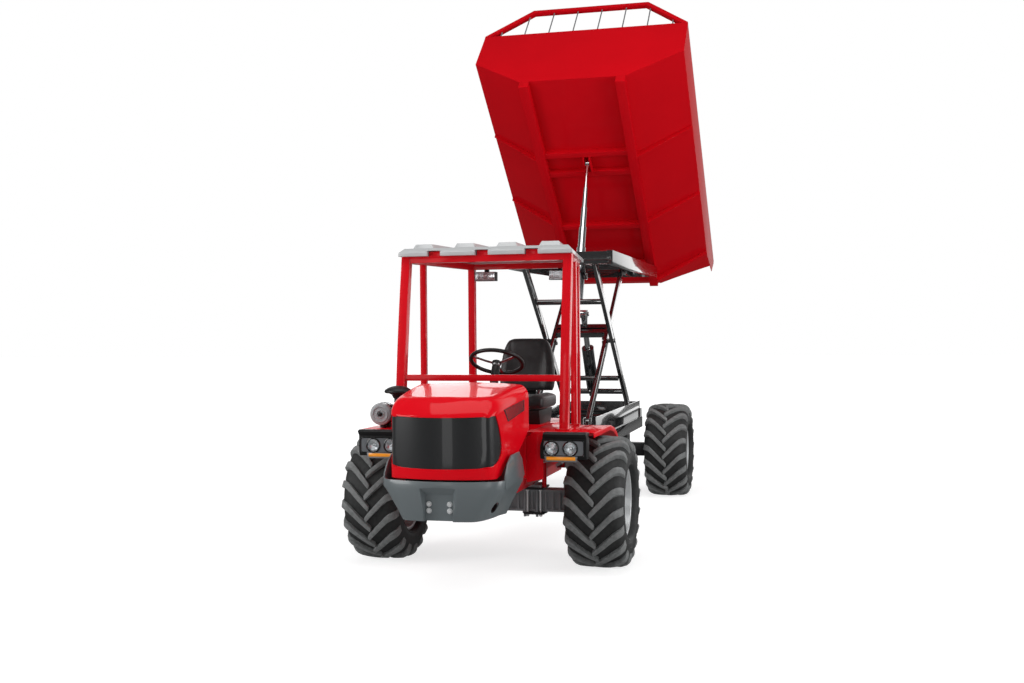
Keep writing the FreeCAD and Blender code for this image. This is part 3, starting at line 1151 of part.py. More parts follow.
def hinge_ears(offsets, root):
    """Ear plates round the bed hinge at the given distances from its middle plane."""
    solids = []
    for x in offsets:
        x0 = HINGE_EAR_X + x - HINGE_EAR_T / 2.0
        eye = cyl(vec(x0, HINGE_Y, HINGE_Z), vec(x0 + HINGE_EAR_T, HINGE_Y, HINGE_Z), HINGE_EYE_R)
        solids.append(eye.fuse(prism_x(root, x0, x0 + HINGE_EAR_T)))
    return solids


def top_frame():
    """Level frame on the scissor: bright side rails, crossmembers, guides, ears and cradle."""
    rail = channel(TOP_X, TOP_RAIL_W, TOP_FRONT_Y, TOP_REAR_Y, TOP_Z0, TOP_Z1, 6)
    solids = both_sides(rail)
    inner = TOP_X - 6
    rear_cross = TOP_REAR_Y - TOP_CROSS_D - 38
    for y in (TOP_FRONT_Y, rear_cross):
        solids.append(box(-inner, inner, y, y + TOP_CROSS_D, TOP_Z0 + 6, TOP_Z1 - 6))
    bridge = TIP_BASE_Y - TIP_BARREL_R - 30 - TOP_CROSS_D
    for y in (bridge, GUIDE_FRONT_Y - 1):
        solids.append(box(-inner, inner, y, y + TOP_CROSS_D, TOP_Z1 - TOP_BRIDGE_H, TOP_Z1 - 6))
    root = [(rear_cross + 40, HINGE_Z - 20), (HINGE_Y, HINGE_Z - HINGE_EYE_R), (HINGE_Y, HINGE_Z),
            (rear_cross + 40, HINGE_Z + 8)]
    spread = HINGE_EAR_T + CLEARANCE / 2.0
    pieces = [top_ears(), roller_guide(rear_cross + 1), tip_cradle()] + hinge_ears((-spread, spread), root)
    reach = spread + HINGE_EAR_T / 2.0
    pieces.append(cyl(vec(HINGE_EAR_X - reach, HINGE_Y, HINGE_Z), vec(HINGE_EAR_X + reach, HINGE_Y, HINGE_Z),
                      HINGE_PIN_R))
    for piece in pieces:
        solids += both_sides(piece)
    return fuse(solids)


# --- bed --------------------------------------------------------------------------------

def place_on_bed(shape):
    """Turn a shape drawn on the level bed (v along +Y, n along +Z) up to the tipped pose."""
    turned = shape.copy()
    turned.translate(vec(0, -HINGE_V, -HINGE_N))
    turned.rotate(vec(0, 0, 0), vec(1, 0, 0), -TIP_ANGLE)
    turned.translate(vec(0, HINGE_Y, HINGE_Z))
    return turned


def bed_section(gap, rim):
    """Half section of the tub, from the middle out and up, drawn in by gap."""
    line = [(0, 0), (BED_FLOOR_X, 0), (BED_RIM_X, BED_FLARE_N), (BED_RIM_X, rim)]
    return offset_chain(line, gap)[1:]


def tail_plane_v(n):
    return TAIL_FLOOR_V + (n - TAIL_FLOOR_N) * TAIL_LEAN


def tub_form(gap, rim):
    """Closed form of the tub's space: a straight length and the kicked-up tail."""
    half = bed_section(gap, rim)
    ring = [(x, n) for x, n in half] + [(-x, n) for x, n in half[::-1]]
    straight = prism_y(ring, -10, TAIL_V)
    lift = [TAIL_FLOOR_N, TAIL_FLARE_N - BED_FLARE_N, 0.0]
    tail_half = [(x, n + rise) for (x, n), rise in zip(half, lift)]
    tail_ring = tail_half + [(-x, n) for x, n in tail_half[::-1]]
    near = [vec(x, TAIL_V - 1, n) for x, n in ring]
    extra = 0.0 if gap == 0 else 20.0
    far = [vec(x, tail_plane_v(n) + extra, n) for x, n in tail_ring]
    tail = Part.makeLoft([Part.makePolygon(near + [near[0]]), Part.makePolygon(far + [far[0]])], True, True)
    return straight.fuse(tail)


def bed_tub():
    """Sheet tub: floor, flared sides, upright rim bands, leaning front wall and kicked-up tail."""
    outer = tub_form(0.0, BED_RIM_N)
    inner = tub_form(BED_WALL, BED_RIM_N + 30)
    lean = degrees(atan2(BED_WALL_LEAN, 1.0))
    front_cut = Part.makeBox(2400, 600, 2400, vec(-1200, -600, -100))
    front_cut.rotate(vec(0, 0, 0), vec(1, 0, 0), -lean)
    inner_cut = Part.makeBox(2400, 600, 2400, vec(-1200, -600 + BED_WALL, -100))
    inner_cut.rotate(vec(0, 0, 0), vec(1, 0, 0), -lean)
    return outer.cut(front_cut).cut(inner.cut(inner_cut)).removeSplitter()


def bed_rim():
    """Square tube along the top of the bands and the front wall."""
    x0 = BED_RIM_X - RIM_TUBE
    v0 = BED_RIM_N * BED_WALL_LEAN
    rear = tail_plane_v(BED_RIM_N)
    side = box(x0, BED_RIM_X, v0, rear, BED_RIM_N, BED_RIM_N + RIM_TUBE)
    front = box(-x0, x0, v0, v0 + RIM_TUBE, BED_RIM_N, BED_RIM_N + RIM_TUBE)
    return both_sides(side) + [front]


def bed_guard():
    """Guard on the front wall: a bent square tube with thin upright bars."""
    n0 = BED_RIM_N + RIM_TUBE + FIT
    foot_x = BED_RIM_X - 24
    slope = (GUARD_N - n0) / (foot_x - GUARD_X)
    low_x = foot_x + GUARD_SINK / slope
    path = [(-low_x, n0 - GUARD_SINK), (-GUARD_X, GUARD_N), (GUARD_X, GUARD_N), (low_x, n0 - GUARD_SINK)]
    hoop = prism_y(strip(path, GUARD_TUBE), 0, GUARD_TUBE)
    hoop = hoop.common(box(-BED_RIM_X, BED_RIM_X, -5, GUARD_TUBE + 5, n0 - GUARD_SINK, GUARD_N + GUARD_TUBE))
    solids = [hoop]
    pitch = 2 * (BED_RIM_X - 150) / (GUARD_BAR_COUNT - 1)
    for i in range(GUARD_BAR_COUNT):
        x = -BED_RIM_X + 150 + i * pitch
        top = min(GUARD_N, n0 + (foot_x - abs(x)) * slope)
        solids.append(cyl(vec(x, GUARD_TUBE / 2.0, n0 - GUARD_SINK), vec(x, GUARD_TUBE / 2.0, top), GUARD_BAR_R))
    guard = fuse(solids)
    guard.rotate(vec(0, 0, n0), vec(1, 0, 0), -degrees(atan2(BED_WALL_LEAN, 1.0)))
    guard.translate(vec(0, BED_RIM_N * BED_WALL_LEAN, 0))
    return guard.common(box(-BED_RIM_X, BED_RIM_X, -400, 800, n0, 2 * GUARD_N))


def bed_underframe():
    """Floor rails, crossmembers, side gussets, the cylinder bracket and the hinge ears."""
    x_in = BED_FLOOR_X - BED_RAIL_W
    solids = both_sides(box(x_in, BED_FLOOR_X, 0, TAIL_V, -BED_RAIL_H, -FIT))
    for v in BED_CROSS_V:
        solids.append(box(-x_in - 1, x_in + 1, v, v + BED_CROSS_W, -BED_RAIL_H + 22, -FIT))
    for v in GUSSET_V:
        web = prism_y([(BED_FLOOR_X - 2, -BED_RAIL_H), (BED_FLOOR_X - 2, -FIT), (BED_FLOOR_X, -FIT),
                       (BED_RIM_X - 2, BED_FLARE_N - 4), (BED_RIM_X - 2, BED_FLARE_N - 40)], v, v + GUSSET_T)
        solids += both_sides(web)
    solids.append(box(-x_in - 1, x_in + 1, HINGE_V - 40, HINGE_V + 40, -BED_RAIL_H + 22, -FIT))
    eye = cyl(vec(HINGE_EAR_X - HINGE_EAR_T / 2.0, HINGE_V, HINGE_N),
              vec(HINGE_EAR_X + HINGE_EAR_T / 2.0, HINGE_V, HINGE_N), HINGE_EYE_R)
    plate = prism_x([(HINGE_V - 34, -BED_RAIL_H + 24), (HINGE_V - HINGE_EYE_R, HINGE_N), (HINGE_V + HINGE_EYE_R, HINGE_N),
                     (HINGE_V + 34, -BED_RAIL_H + 24)], HINGE_EAR_X - HINGE_EAR_T / 2.0,
                    HINGE_EAR_X + HINGE_EAR_T / 2.0)
    hole = cyl(vec(HINGE_EAR_X - 40, HINGE_V, HINGE_N), vec(HINGE_EAR_X + 40, HINGE_V, HINGE_N), HINGE_PIN_R + RUNNING)
    solids += both_sides(eye.fuse(plate).cut(hole))
    bracket_x = TIP_EYE_HALF_W + CLEARANCE
    bracket = box(bracket_x, bracket_x + 10, BED_CROSS_V[0] + BED_CROSS_W - 2, BED_CROSS_V[1] + 2, TIP_EYE_N - 30, -8)
    solids += both_sides(bracket)
    return fuse(solids)


# --- tipping cylinder -------------------------------------------------------------------

def bed_point(v, n):
    a = radians(TIP_ANGLE)
    y = HINGE_Y + (v - HINGE_V) * cos(a) + (n - HINGE_N) * sin(a)
    z = HINGE_Z - (v - HINGE_V) * sin(a) + (n - HINGE_N) * cos(a)
    return y, z


def tip_axis():
    y, z = bed_point(TIP_EYE_V, TIP_EYE_N)
    run = vec(0, y - TIP_BASE_Y, z - TIP_BASE_Z)
    return run.Length, run.normalize()


def tip_point(d):
    return vec(0, TIP_BASE_Y, TIP_BASE_Z) + tip_axis()[1] * d


def tip_barrel():
    low = tip_point(TIP_BARREL_TOP - TIP_BARREL_LEN)
    body = cyl(low, tip_point(TIP_BARREL_TOP), TIP_BARREL_R)
    bore = cyl(low + tip_axis()[1] * 10, tip_point(TIP_BARREL_TOP + 5), TIP_STAGE_R[0] + ROD_GAP)
    reach = TRUNNION_X + CRADLE_T + 4
    pin = cyl(vec(-reach, TIP_BASE_Y, TIP_BASE_Z), vec(reach, TIP_BASE_Y, TIP_BASE_Z), TRUNNION_R)
    return body.fuse(pin).cut(bore)


def tip_stage(k):
    """Sleeve k of the telescopic cylinder, drawn out by its travel."""
    top = TIP_BARREL_TOP + (k + 1) * TIP_STAGE_TRAVEL + 12 * (k + 1)
    low = top - TIP_STAGE_TRAVEL - 60
    last = len(TIP_STAGE_R) - 1
    if k == last:
        reach = tip_axis()[0]
        end = tip_point(reach)
        eye = cyl(end - vec(TIP_EYE_HALF_W, 0, 0), end + vec(TIP_EYE_HALF_W, 0, 0), TIP_EYE_R)
        return cyl(tip_point(low), end, TIP_STAGE_R[k]).fuse(eye)
    return tube(tip_point(low), tip_point(top), TIP_STAGE_R[k], TIP_STAGE_R[k + 1] + ROD_GAP)


# --- the whole vehicle ------------------------------------------------------------------

def main():
    os.makedirs("parts", exist_ok=True)
    tyre_left = tyre()
    rim_left = rim()
    for end, y in (("front", 0.0), ("rear", WHEELBASE)):
        for word, side in (("left", 1), ("right", -1)):
            save("tyre_" + end + "_" + word, placed_wheel(tyre_left, side, y))
            save("rim_" + end + "_" + word, placed_wheel(rim_left, side, y))
    save("knuckle_left", knuckle())
    save("knuckle_right", mirror_x(knuckle()))
    save("front_axle", front_axle())
    save("rear_axle", rear_axle())
    save("drive_shaft", drive_shaft())
    save("front_frame", front_frame())
    save("rear_frame", rear_frame())
    save("engine_block", engine_block())
    save("bumper", bumper())
    save("hood_shell", hood_shell())
    save("grille", grille())
    save("cab_platform", cab_platform())
    save("fenders", Part.Compound(both_sides(fender())))
    save("headlamp_housings", Part.Compound(both_sides(headlamp_housing())))
    save("headlamps", Part.Compound(both_sides(headlamp_lens())))
    save("indicators", Part.Compound(both_sides(indicator())))
    save("rollover_frame", rollover_frame())
    save("roof_panel", roof_panel())
    save("work_lamps", work_lamps())
    save("steering_column", steering_column())
    save("steering_wheel", steering_wheel())
    save("seat_base", seat_base())
    save("seat_cushion", seat_cushion())
    save("seat_back", seat_back())
    save("air_cleaner", air_cleaner())
    save("air_intake", air_intake())
    save("inner_arms", inner_arms())
    save("outer_arms", outer_arms())
    save("lift_barrel", lift_barrel())
    save("lift_rod", lift_rod())
    save("top_frame", top_frame())
    save("bed_tub", place_on_bed(fuse([bed_tub()] + bed_rim())))
    save("bed_guard", place_on_bed(bed_guard()))
    save("bed_underframe", place_on_bed(bed_underframe()))
    save("tip_barrel", tip_barrel())
    for k in range(len(TIP_STAGE_R)):
        save("tip_stage_" + str(k + 1), tip_stage(k))


main()
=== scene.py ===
"""Palm fruit transport vehicle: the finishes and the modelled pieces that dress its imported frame.

Lengths are in metres unless a name ends in _mm.  The vehicle faces -Y, its left is +X and +Z is up.
"""

import logging
import math
from collections.abc import Sequence
from dataclasses import dataclass, field
from enum import Enum

import bmesh
import bpy
from mathutils import Matrix, Vector

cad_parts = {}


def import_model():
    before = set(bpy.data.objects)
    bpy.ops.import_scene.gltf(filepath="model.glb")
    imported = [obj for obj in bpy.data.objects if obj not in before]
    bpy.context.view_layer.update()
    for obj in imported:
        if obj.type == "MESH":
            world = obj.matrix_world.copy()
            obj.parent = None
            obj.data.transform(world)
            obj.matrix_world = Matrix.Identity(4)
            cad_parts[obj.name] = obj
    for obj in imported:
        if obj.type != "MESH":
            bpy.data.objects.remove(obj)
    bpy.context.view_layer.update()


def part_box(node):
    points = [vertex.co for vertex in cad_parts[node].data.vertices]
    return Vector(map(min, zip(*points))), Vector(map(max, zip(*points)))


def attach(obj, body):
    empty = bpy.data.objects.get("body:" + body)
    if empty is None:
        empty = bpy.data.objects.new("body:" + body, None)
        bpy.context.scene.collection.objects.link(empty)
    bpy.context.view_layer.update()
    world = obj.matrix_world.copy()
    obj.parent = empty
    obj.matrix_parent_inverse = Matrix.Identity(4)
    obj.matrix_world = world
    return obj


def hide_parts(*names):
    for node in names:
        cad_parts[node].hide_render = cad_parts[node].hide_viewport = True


LOG = logging.getLogger("carrier")
MM = 0.001
WELD = 1e-6
WHITE = (1.0, 1.0, 1.0, 1.0)
Pair = tuple[float, float]
Point = Sequence[float]
Shape = bmesh.types.BMesh
Mesh = bpy.types.Mesh
Object = bpy.types.Object
Material = bpy.types.Material
Tree = bpy.types.NodeTree
Node = bpy.types.Node
Socket = bpy.types.NodeSocket
Triple = tuple[float, float, float]
Quad = tuple[float, float, float, float]
ORIGIN = (0, 0, 0)
FORWARD = (0, -1, 0)
BACKWARD = (0, 1, 0)
UPWARD = (0, 0, 1)
DOWNWARD = (0, 0, -1)
SIDEWAYS = (1, 0, 0)


class Slot(str, Enum):
    """Material slots of the record."""

    RED = "red_paint"
    GREY = "grey_paint"
    BLACK = "black_paint"
    SILVER = "silver_paint"
    CAST = "cast_housing"
    STEEL = "steel"
    CHROME = "chrome_rod"
    TYRE = "tyre_rubber"
    PLASTIC = "black_plastic"
    GLOSS = "gloss_black"
    ROOF = "roof_plastic"
    VINYL = "seat_vinyl"
    GLASS = "lamp_glass"
    AMBER = "amber_lens"
    IRON = "iron"
    CANISTER = "canister"


# --- materials --------------------------------------------------------------------------

def linear(hex_colour: str) -> Quad:
    """Turn an sRGB hex colour to the linear values that a shader takes.

    Args:
        hex_colour: Six hex digits after a hash.

    Returns:
        Linear red, green, blue and an alpha of 1.
    """
    parts = [int(hex_colour[i:i + 2], 16) / 255 for i in (1, 3, 5)]
    lin = [c / 12.92 if c <= 0.04045 else ((c + 0.055) / 1.055) ** 2.4 for c in parts]
    return (lin[0], lin[1], lin[2], 1.0)


def add_node(tree: Tree, kind: str, inputs: dict | None = None, **settings) -> Node:
    """Add a node with its settings, input values and links.

    Args:
        tree: Node tree that takes the node.
        kind: Blender's identifier of the node type.
        inputs: Input name or index to a value, or to the output socket that feeds it.
        settings: Attributes of the node.

    Returns:
        The new node.
    """
    node = tree.nodes.new(kind)
    for name, value in settings.items():
        setattr(node, name, value)
    for key, value in (inputs or {}).items():
        if isinstance(value, Socket):
            tree.links.new(value, node.inputs[key])
        else:
            node.inputs[key].default_value = value
    return node


def white(tree: Tree, kind: str, strength: float | Socket) -> Socket:
    """Return a white light of a strength; the kind is Background or Emission."""
    node = add_node(tree, "ShaderNode" + kind, {"Color": WHITE, "Strength": strength})
    return node.outputs[0]


def chosen(tree: Tree, share: Socket, other: Socket, one: Socket) -> Socket:
    """Return one shader where the share is 1 and the other where it is 0."""
    return add_node(tree, "ShaderNodeMixShader", {0: share, 1: other, 2: one}).outputs[0]


def tune(shader: Node, values: dict[str, float | Quad]) -> None:
    """Set a shader's input values by name."""
    for name, value in values.items():
        shader.inputs[name].default_value = value


def ranged(tree: Tree, value: Socket, source: Pair, target: Pair, **settings) -> Socket:
    """Return a value mapped from the source range to the target range and held at its ends."""
    node = add_node(tree, "ShaderNodeMapRange", {
        "Value": value, "From Min": source[0], "From Max": source[1],
        "To Min": target[0], "To Max": target[1]}, **settings)
    return node.outputs["Result"]


@dataclass(frozen=True)
class Finish:
    """A surface finish: the record's slot, the colour, and what its kind adds."""

    name: str
    slot: Slot
    colour: str
    roughness: float = 0.4

    def material(self) -> Material:
        """Return this finish's material, built at its first use."""
        found = bpy.data.materials.get(self.name)
        if found is not None:
            return found
        made = bpy.data.materials.new(self.name)
        made.use_nodes = True
        tree = made.node_tree
        tree.nodes.clear()
        shader = add_node(tree, "ShaderNodeBsdfPrincipled",
                          {"Base Color": linear(self.colour), "Roughness": self.roughness})
        add_node(tree, "ShaderNodeOutputMaterial", {"Surface": shader.outputs["BSDF"]})
        self.dress(tree, shader)
        return made

    def dress(self, tree: Tree, shader: Node) -> None:
        """Add the detail of this kind of finish to the shader."""

    def noise(self, tree: Tree, size_mm: float, detail: float = 3.0) -> Socket:
        """Return a noise value whose features are about size_mm across."""
        where = add_node(tree, "ShaderNodeTexCoord")
        field_node = add_node(tree, "ShaderNodeTexNoise", {
            "Vector": where.outputs["Object"], "Scale": 1 / (size_mm * MM), "Detail": detail})
        return field_node.outputs["Fac"]

    def mottle(self, tree: Tree, shader: Node, size_mm: float, other: str, amount: float) -> None:
        """Blend the base colour towards another one in soft patches of size_mm."""
        edges = (0.35, 0.7)
        share = ranged(tree, self.noise(tree, size_mm), edges, (0.0, amount))
        mix = add_node(tree, "ShaderNodeMix", {
            "Factor": share, "A": linear(self.colour), "B": linear(other)}, data_type="RGBA")
        tree.links.new(mix.outputs[2], shader.inputs["Base Color"])

    def uneven(self, tree: Tree, shader: Node, size_mm: float, low: float, high: float) -> None:
        """Let the roughness drift between two values in patches of size_mm."""
        rough = ranged(tree, self.noise(tree, size_mm), (0.0, 1.0), (low, high))
        tree.links.new(rough, shader.inputs["Roughness"])

    def cells(self, tree: Tree, size_mm: float, feature: str) -> Socket:
        """Return the distance field of a cell pattern whose cells are about size_mm across."""
        where = add_node(tree, "ShaderNodeTexCoord")
        pattern = add_node(tree, "ShaderNodeTexVoronoi", {
            "Vector": where.outputs["Object"], "Scale": 1 / (size_mm * MM)}, feature=feature)
        return pattern.outputs["Distance"]

    def relief(self, tree: Tree, shader: Node, height: Socket, depth_mm: float,
               strength: float) -> None:
        """Feed a height field of depth_mm to the shader's normal."""
        bump = add_node(tree, "ShaderNodeBump", {
            "Height": height, "Distance": depth_mm * MM, "Strength": strength})
        tree.links.new(bump.outputs["Normal"], shader.inputs["Normal"])


@dataclass(frozen=True)
class Enamel(Finish):
    """Two-pack enamel on steel: a deep colour under a clear gloss with slight orange peel."""

    second: str = "#000000"
    drift_mm: float = 420.0
    drift: float = 0.10
    peel_mm: float = 4.0
    peel_depth_mm: float = 0.02
    coat: float = 0.5
    body_shine: float = 0.2
    coat_ior: float = 1.5

    def dress(self, tree: Tree, shader: Node) -> None:
        """Add the gloss coat, a faint colour drift between panels and the orange peel."""
        tune(shader, {"Specular IOR Level": self.body_shine, "Coat Weight": self.coat,
                      "Coat Roughness": 0.05, "Coat IOR": self.coat_ior})
        self.mottle(tree, shader, self.drift_mm, self.second, self.drift)
        self.relief(tree, shader, self.noise(tree, self.peel_mm, 1.0), self.peel_depth_mm, 0.5)


@dataclass(frozen=True)
class Powder(Finish):
    """Baked powder coat: an even satin film with a fine pebbled skin."""

    grain_mm: float = 1.6
    grain_depth_mm: float = 0.05
    sheen_mm: float = 160.0
    coat: float = 0.35

    def dress(self, tree: Tree, shader: Node) -> None:
        """Add a thin coat, the pebbled relief and a slightly uneven sheen."""
        tune(shader, {"Coat Weight": self.coat, "Coat Roughness": 0.12})
        self.uneven(tree, shader, self.sheen_mm, self.roughness - 0.06, self.roughness + 0.08)
        self.relief(tree, shader, self.noise(tree, self.grain_mm), self.grain_depth_mm, 0.5)


@dataclass(frozen=True)
class Metal(Finish):
    """Bare, plated or polished metal with a faint machining or rolling texture."""

    grain_mm: float = 1.2
    depth_mm: float = 0.02
    wear_mm: float = 30.0
    metallic: float = 1.0

    def dress(self, tree: Tree, shader: Node) -> None:
        """Reflect as metal, broken up by the grain; an oxidised skin reflects less."""
        tune(shader, {"Metallic": self.metallic})
        self.uneven(tree, shader, self.wear_mm, self.roughness * 0.8, self.roughness * 1.3)
        self.relief(tree, shader, self.noise(tree, self.grain_mm), self.depth_mm, 0.6)


@dataclass(frozen=True)
class SilverPaint(Finish):
    """Aluminium-flake paint or plating: pale grey, partly metallic, sparkling in the light."""

    flake: str = "#8E9294"
    flake_mm: float = 1.5
    peel_mm: float = 6.0

    def dress(self, tree: Tree, shader: Node) -> None:
        """Draw the flakes 1.5 mm across, larger than real so that they show, under a thin coat."""
        tune(shader, {"Metallic": 0.3, "Coat Weight": 0.3})
        self.mottle(tree, shader, self.flake_mm, self.flake, 0.35)
        self.relief(tree, shader, self.noise(tree, self.peel_mm, 1.0), 0.03, 0.4)


@dataclass(frozen=True)
class Rubber(Finish):
    """Cured tyre rubber: dull charcoal with moulding dust and a fine open skin."""

    dust: str = "#6A6A69"
    dust_amount: float = 0.35
    dust_mm: float = 26.0
    pit_mm: float = 2.4
    pit_depth_mm: float = 0.35

    def dress(self, tree: Tree, shader: Node) -> None:
        """Lay dust in patches of a few centimetres over a skin of fine pits."""
        tune(shader, {"Specular IOR Level": 0.32})
        self.mottle(tree, shader, self.dust_mm, self.dust, self.dust_amount)
        self.relief(tree, shader, self.noise(tree, self.pit_mm, 5.0), self.pit_depth_mm, 0.7)


@dataclass(frozen=True)
class Moulded(Finish):
    """Injection-moulded plastic with a leathery spark-eroded grain, satin or glossy."""

    grain_mm: float = 1.8
    depth_mm: float = 0.05
    sheen_mm: float = 90.0
    coat: float = 0.0

    def dress(self, tree: Tree, shader: Node) -> None:
        """Add the grain's relief, and the coat where the mould is polished."""
        tune(shader, {"Coat Weight": self.coat, "Coat Roughness": 0.05})
        self.relief(tree, shader, self.cells(tree, self.grain_mm, "SMOOTH_F1"), self.depth_mm, 0.4)
        self.uneven(tree, shader, self.sheen_mm, self.roughness - 0.04, self.roughness + 0.05)


@dataclass(frozen=True)
class Vinyl(Finish):
    """Coated seat fabric: black, softly shining, with an embossed hide grain."""

    hide_mm: float = 3.0
    hide_depth_mm: float = 0.18
    scuff: str = "#2B2B2D"
    scuff_mm: float = 60.0

    def dress(self, tree: Tree, shader: Node) -> None:
        """Draw hide cells 3 mm across, twice their real size so that they show."""
        tune(shader, {"Sheen Weight": 0.15})
        edge = self.cells(tree, self.hide_mm, "DISTANCE_TO_EDGE")
        crease = ranged(tree, edge, (0.0, 0.12), (0.0, 1.0))
        self.relief(tree, shader, crease, self.hide_depth_mm, 0.6)
        self.mottle(tree, shader, self.scuff_mm, self.scuff, 0.5)


@dataclass(frozen=True)
class Lens(Finish):
    """Polycarbonate lamp cover: clear or tinted, hard-coated."""

    glow: float = 0.0
    rib_mm: float = 12.0

    def dress(self, tree: Tree, shader: Node) -> None:
        """Let light through, with fine ribs moulded inside the cover."""
        tune(shader, {"IOR": 1.585, "Transmission Weight": 0.35 if self.glow else 1.0,
                      "Coat Weight": 0.5})
        if self.glow:
            tune(shader, {"Emission Color": linear(self.colour), "Emission Strength": self.glow})
        self.relief(tree, shader, self.noise(tree, self.rib_mm, 0.0), 0.05, 0.3)


RED = Enamel("red enamel on sheet steel", Slot.RED, "#E80A1C", 0.34,
             second="#CC0816", coat=0.34, body_shine=0.03)
BED_RED = Enamel("red enamel on bed plate", Slot.RED, "#CC0C18", 0.38,
                 second="#8E0810", coat=0.16, body_shine=0.0)
FRAME_RED = Enamel("red enamel on square tube", Slot.RED, "#DC081A", 0.32,
                   second="#B80616", coat=0.5, body_shine=0.1)
SLATE = Powder("slate grey powder coat", Slot.GREY, "#6A7275", 0.34, coat=0.5)
BLACK_STEEL = Enamel("black chassis enamel", Slot.BLACK, "#141517", 0.22,
                     second="#0C0D0E", coat=1.0, body_shine=0.6, coat_ior=2.0)
DARK_IRON = Powder("black primer on cast iron", Slot.IRON, "#1D1E20", 0.55, grain_mm=2.5, coat=0.1)
WHEEL_SILVER = SilverPaint("silver wheel paint", Slot.SILVER, "#E0E2E3", 0.36)
CAST_ALLOY = Metal("sand-cast aluminium", Slot.CAST, "#8B8E91", 0.55,
                   grain_mm=2.2, depth_mm=0.25, metallic=0.35)
BARE_STEEL = Metal("turned steel", Slot.STEEL, "#A6A8AA", 0.28)
# Bolt colour: partly the silver of the zinc-flake coat, partly a painted glint; the near white
# stands in for the plated bolts' reflection.
ZINC_WITH_PAINTED_GLINT = SilverPaint("zinc flake with painted glint on bolts", Slot.STEEL, "#F0F2F3", 0.3)
ZINC = Metal("zinc-plated fastener", Slot.STEEL, "#C8CBCE", 0.3, grain_mm=3.0)
CHROME = Metal("hard chrome rod", Slot.CHROME, "#D8DADB", 0.1, grain_mm=20.0, depth_mm=0.01)
TREAD_RUBBER = Rubber("tyre rubber", Slot.TYRE, "#4A4B4B", 0.8)
TREAD_FACE = Rubber("dusty tread face", Slot.TYRE, "#727474", 0.85, dust="#909292", dust_amount=0.6)
WALL_RUBBER = Rubber("sidewall rubber", Slot.TYRE, "#2E2F2F", 0.6, dust="#484848", dust_amount=0.3)
PLASTIC = Moulded("black grained plastic", Slot.PLASTIC, "#151617", 0.48)
GRIP = Moulded("soft black grip", Slot.PLASTIC, "#101112", 0.42, grain_mm=1.2)
GLOSS_BLACK = Moulded("polished black plastic", Slot.GLOSS, "#0B0C0E", 0.16,
                      depth_mm=0.01, coat=0.8)
GRILLE_BLACK = Moulded("tinted grille sheet", Slot.GLOSS, "#1D1E20", 0.3, depth_mm=0.01, coat=0.6)
VENT_GREY = Moulded("charcoal vent mesh", Slot.GLOSS, "#34373A", 0.45)
ROOF_GREY = Moulded("light grey moulded roof", Slot.ROOF, "#C0C2C3", 0.34, depth_mm=0.02, coat=0.5)
SEAT = Vinyl("black seat vinyl", Slot.VINYL, "#111113", 0.42)
CLEAR = Lens("clear lamp cover", Slot.GLASS, "#F4F6F7", 0.03)
REFLECTOR = Metal("lamp reflector", Slot.GLASS, "#F0F2F4", 0.14,
                  grain_mm=9.0, depth_mm=0.2, metallic=0.6)
LAMP_PANEL = Metal("satin lamp trim", Slot.GLASS, "#7C8084", 0.3,
                   grain_mm=7.0, depth_mm=0.1, metallic=0.5)
AMBER = Lens("amber lamp cover", Slot.AMBER, "#F7A42A", 0.15, glow=0.22)
CAN_GREY = Powder("grey painted canister", Slot.CANISTER, "#A2A5A7", 0.4)
GUARD_ROD = Powder("dark grey guard rod", Slot.SILVER, "#6E7072", 0.4)


# --- mesh tools -------------------------------------------------------------------------

SMOOTH_DEG = 34.0
BEVEL_DEG = 32.0


def mesh_of(source: Shape | Mesh, finishes: Sequence[Finish] = (), name: str = "part") -> Mesh:
    """Turn a BMesh, which is freed, to a mesh, and give the mesh its finishes in order."""
    mesh = source
    if isinstance(source, Shape):
        mesh = bpy.data.meshes.new(name)
        source.to_mesh(mesh)
        source.free()
    for each in finishes:
        mesh.materials.append(each.material())
    return mesh


def opened(mesh: Mesh) -> Shape:
    """Return a mesh as an editable one; the mesh stays."""
    work = bmesh.new()
    work.from_mesh(mesh)
    return work


def shade(mesh: Mesh, angle_deg: float) -> None:
    """Smooth a mesh's faces and keep the edges sharper than the angle.

    Args:
        mesh: Mesh to shade.
        angle_deg: Largest fold that still looks smooth.
    """
    mesh.shade_smooth()
    work = opened(mesh)
    limit = math.radians(angle_deg)
    for edge in work.edges:
        edge.smooth = len(edge.link_faces) == 2 and edge.calc_face_angle(0.0) < limit
    work.to_mesh(mesh)
    work.free()


def piece(name: str, source: Shape | Mesh, finish: Finish | Sequence[Finish],
          replaces: Sequence[str] = (), body: str = "chassis",
          angle_deg: float = SMOOTH_DEG) -> Object:
    """Make an object of a mesh, dress it and let it ride on a body.

    Args:
        name: Name of the object.
        source: Its mesh, in place; a BMesh is freed.
        finish: One finish, or one for each material index.
        replaces: CAD nodes that it stands for.
        body: CAD body that carries it.
        angle_deg: Largest fold that still looks smooth.

    Returns:
        The new object.
    """
    mesh = mesh_of(source, name=name)
    finishes = [finish] if isinstance(finish, Finish) else list(finish)
    if not mesh.materials:
        mesh_of(mesh, finishes)
    shade(mesh, angle_deg)
    made = linked(name, mesh)
    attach(made, body)
    if replaces:
        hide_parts(*replaces)
    LOG.info("piece %s on %s: %d faces", name, body, len(mesh.polygons))
    return made


def outward(work: Shape) -> Shape:
    """Merge doubles and turn every closed shell's faces outwards."""
    bmesh.ops.remove_doubles(work, verts=work.verts, dist=WELD)
    bmesh.ops.recalc_face_normals(work, faces=work.faces)
    return work


def linked(name: str, data: bpy.types.ID) -> Object:
    """Return a new object of some data, in the scene."""
    made = bpy.data.objects.new(name, data)
    bpy.context.scene.collection.objects.link(made)
    return made


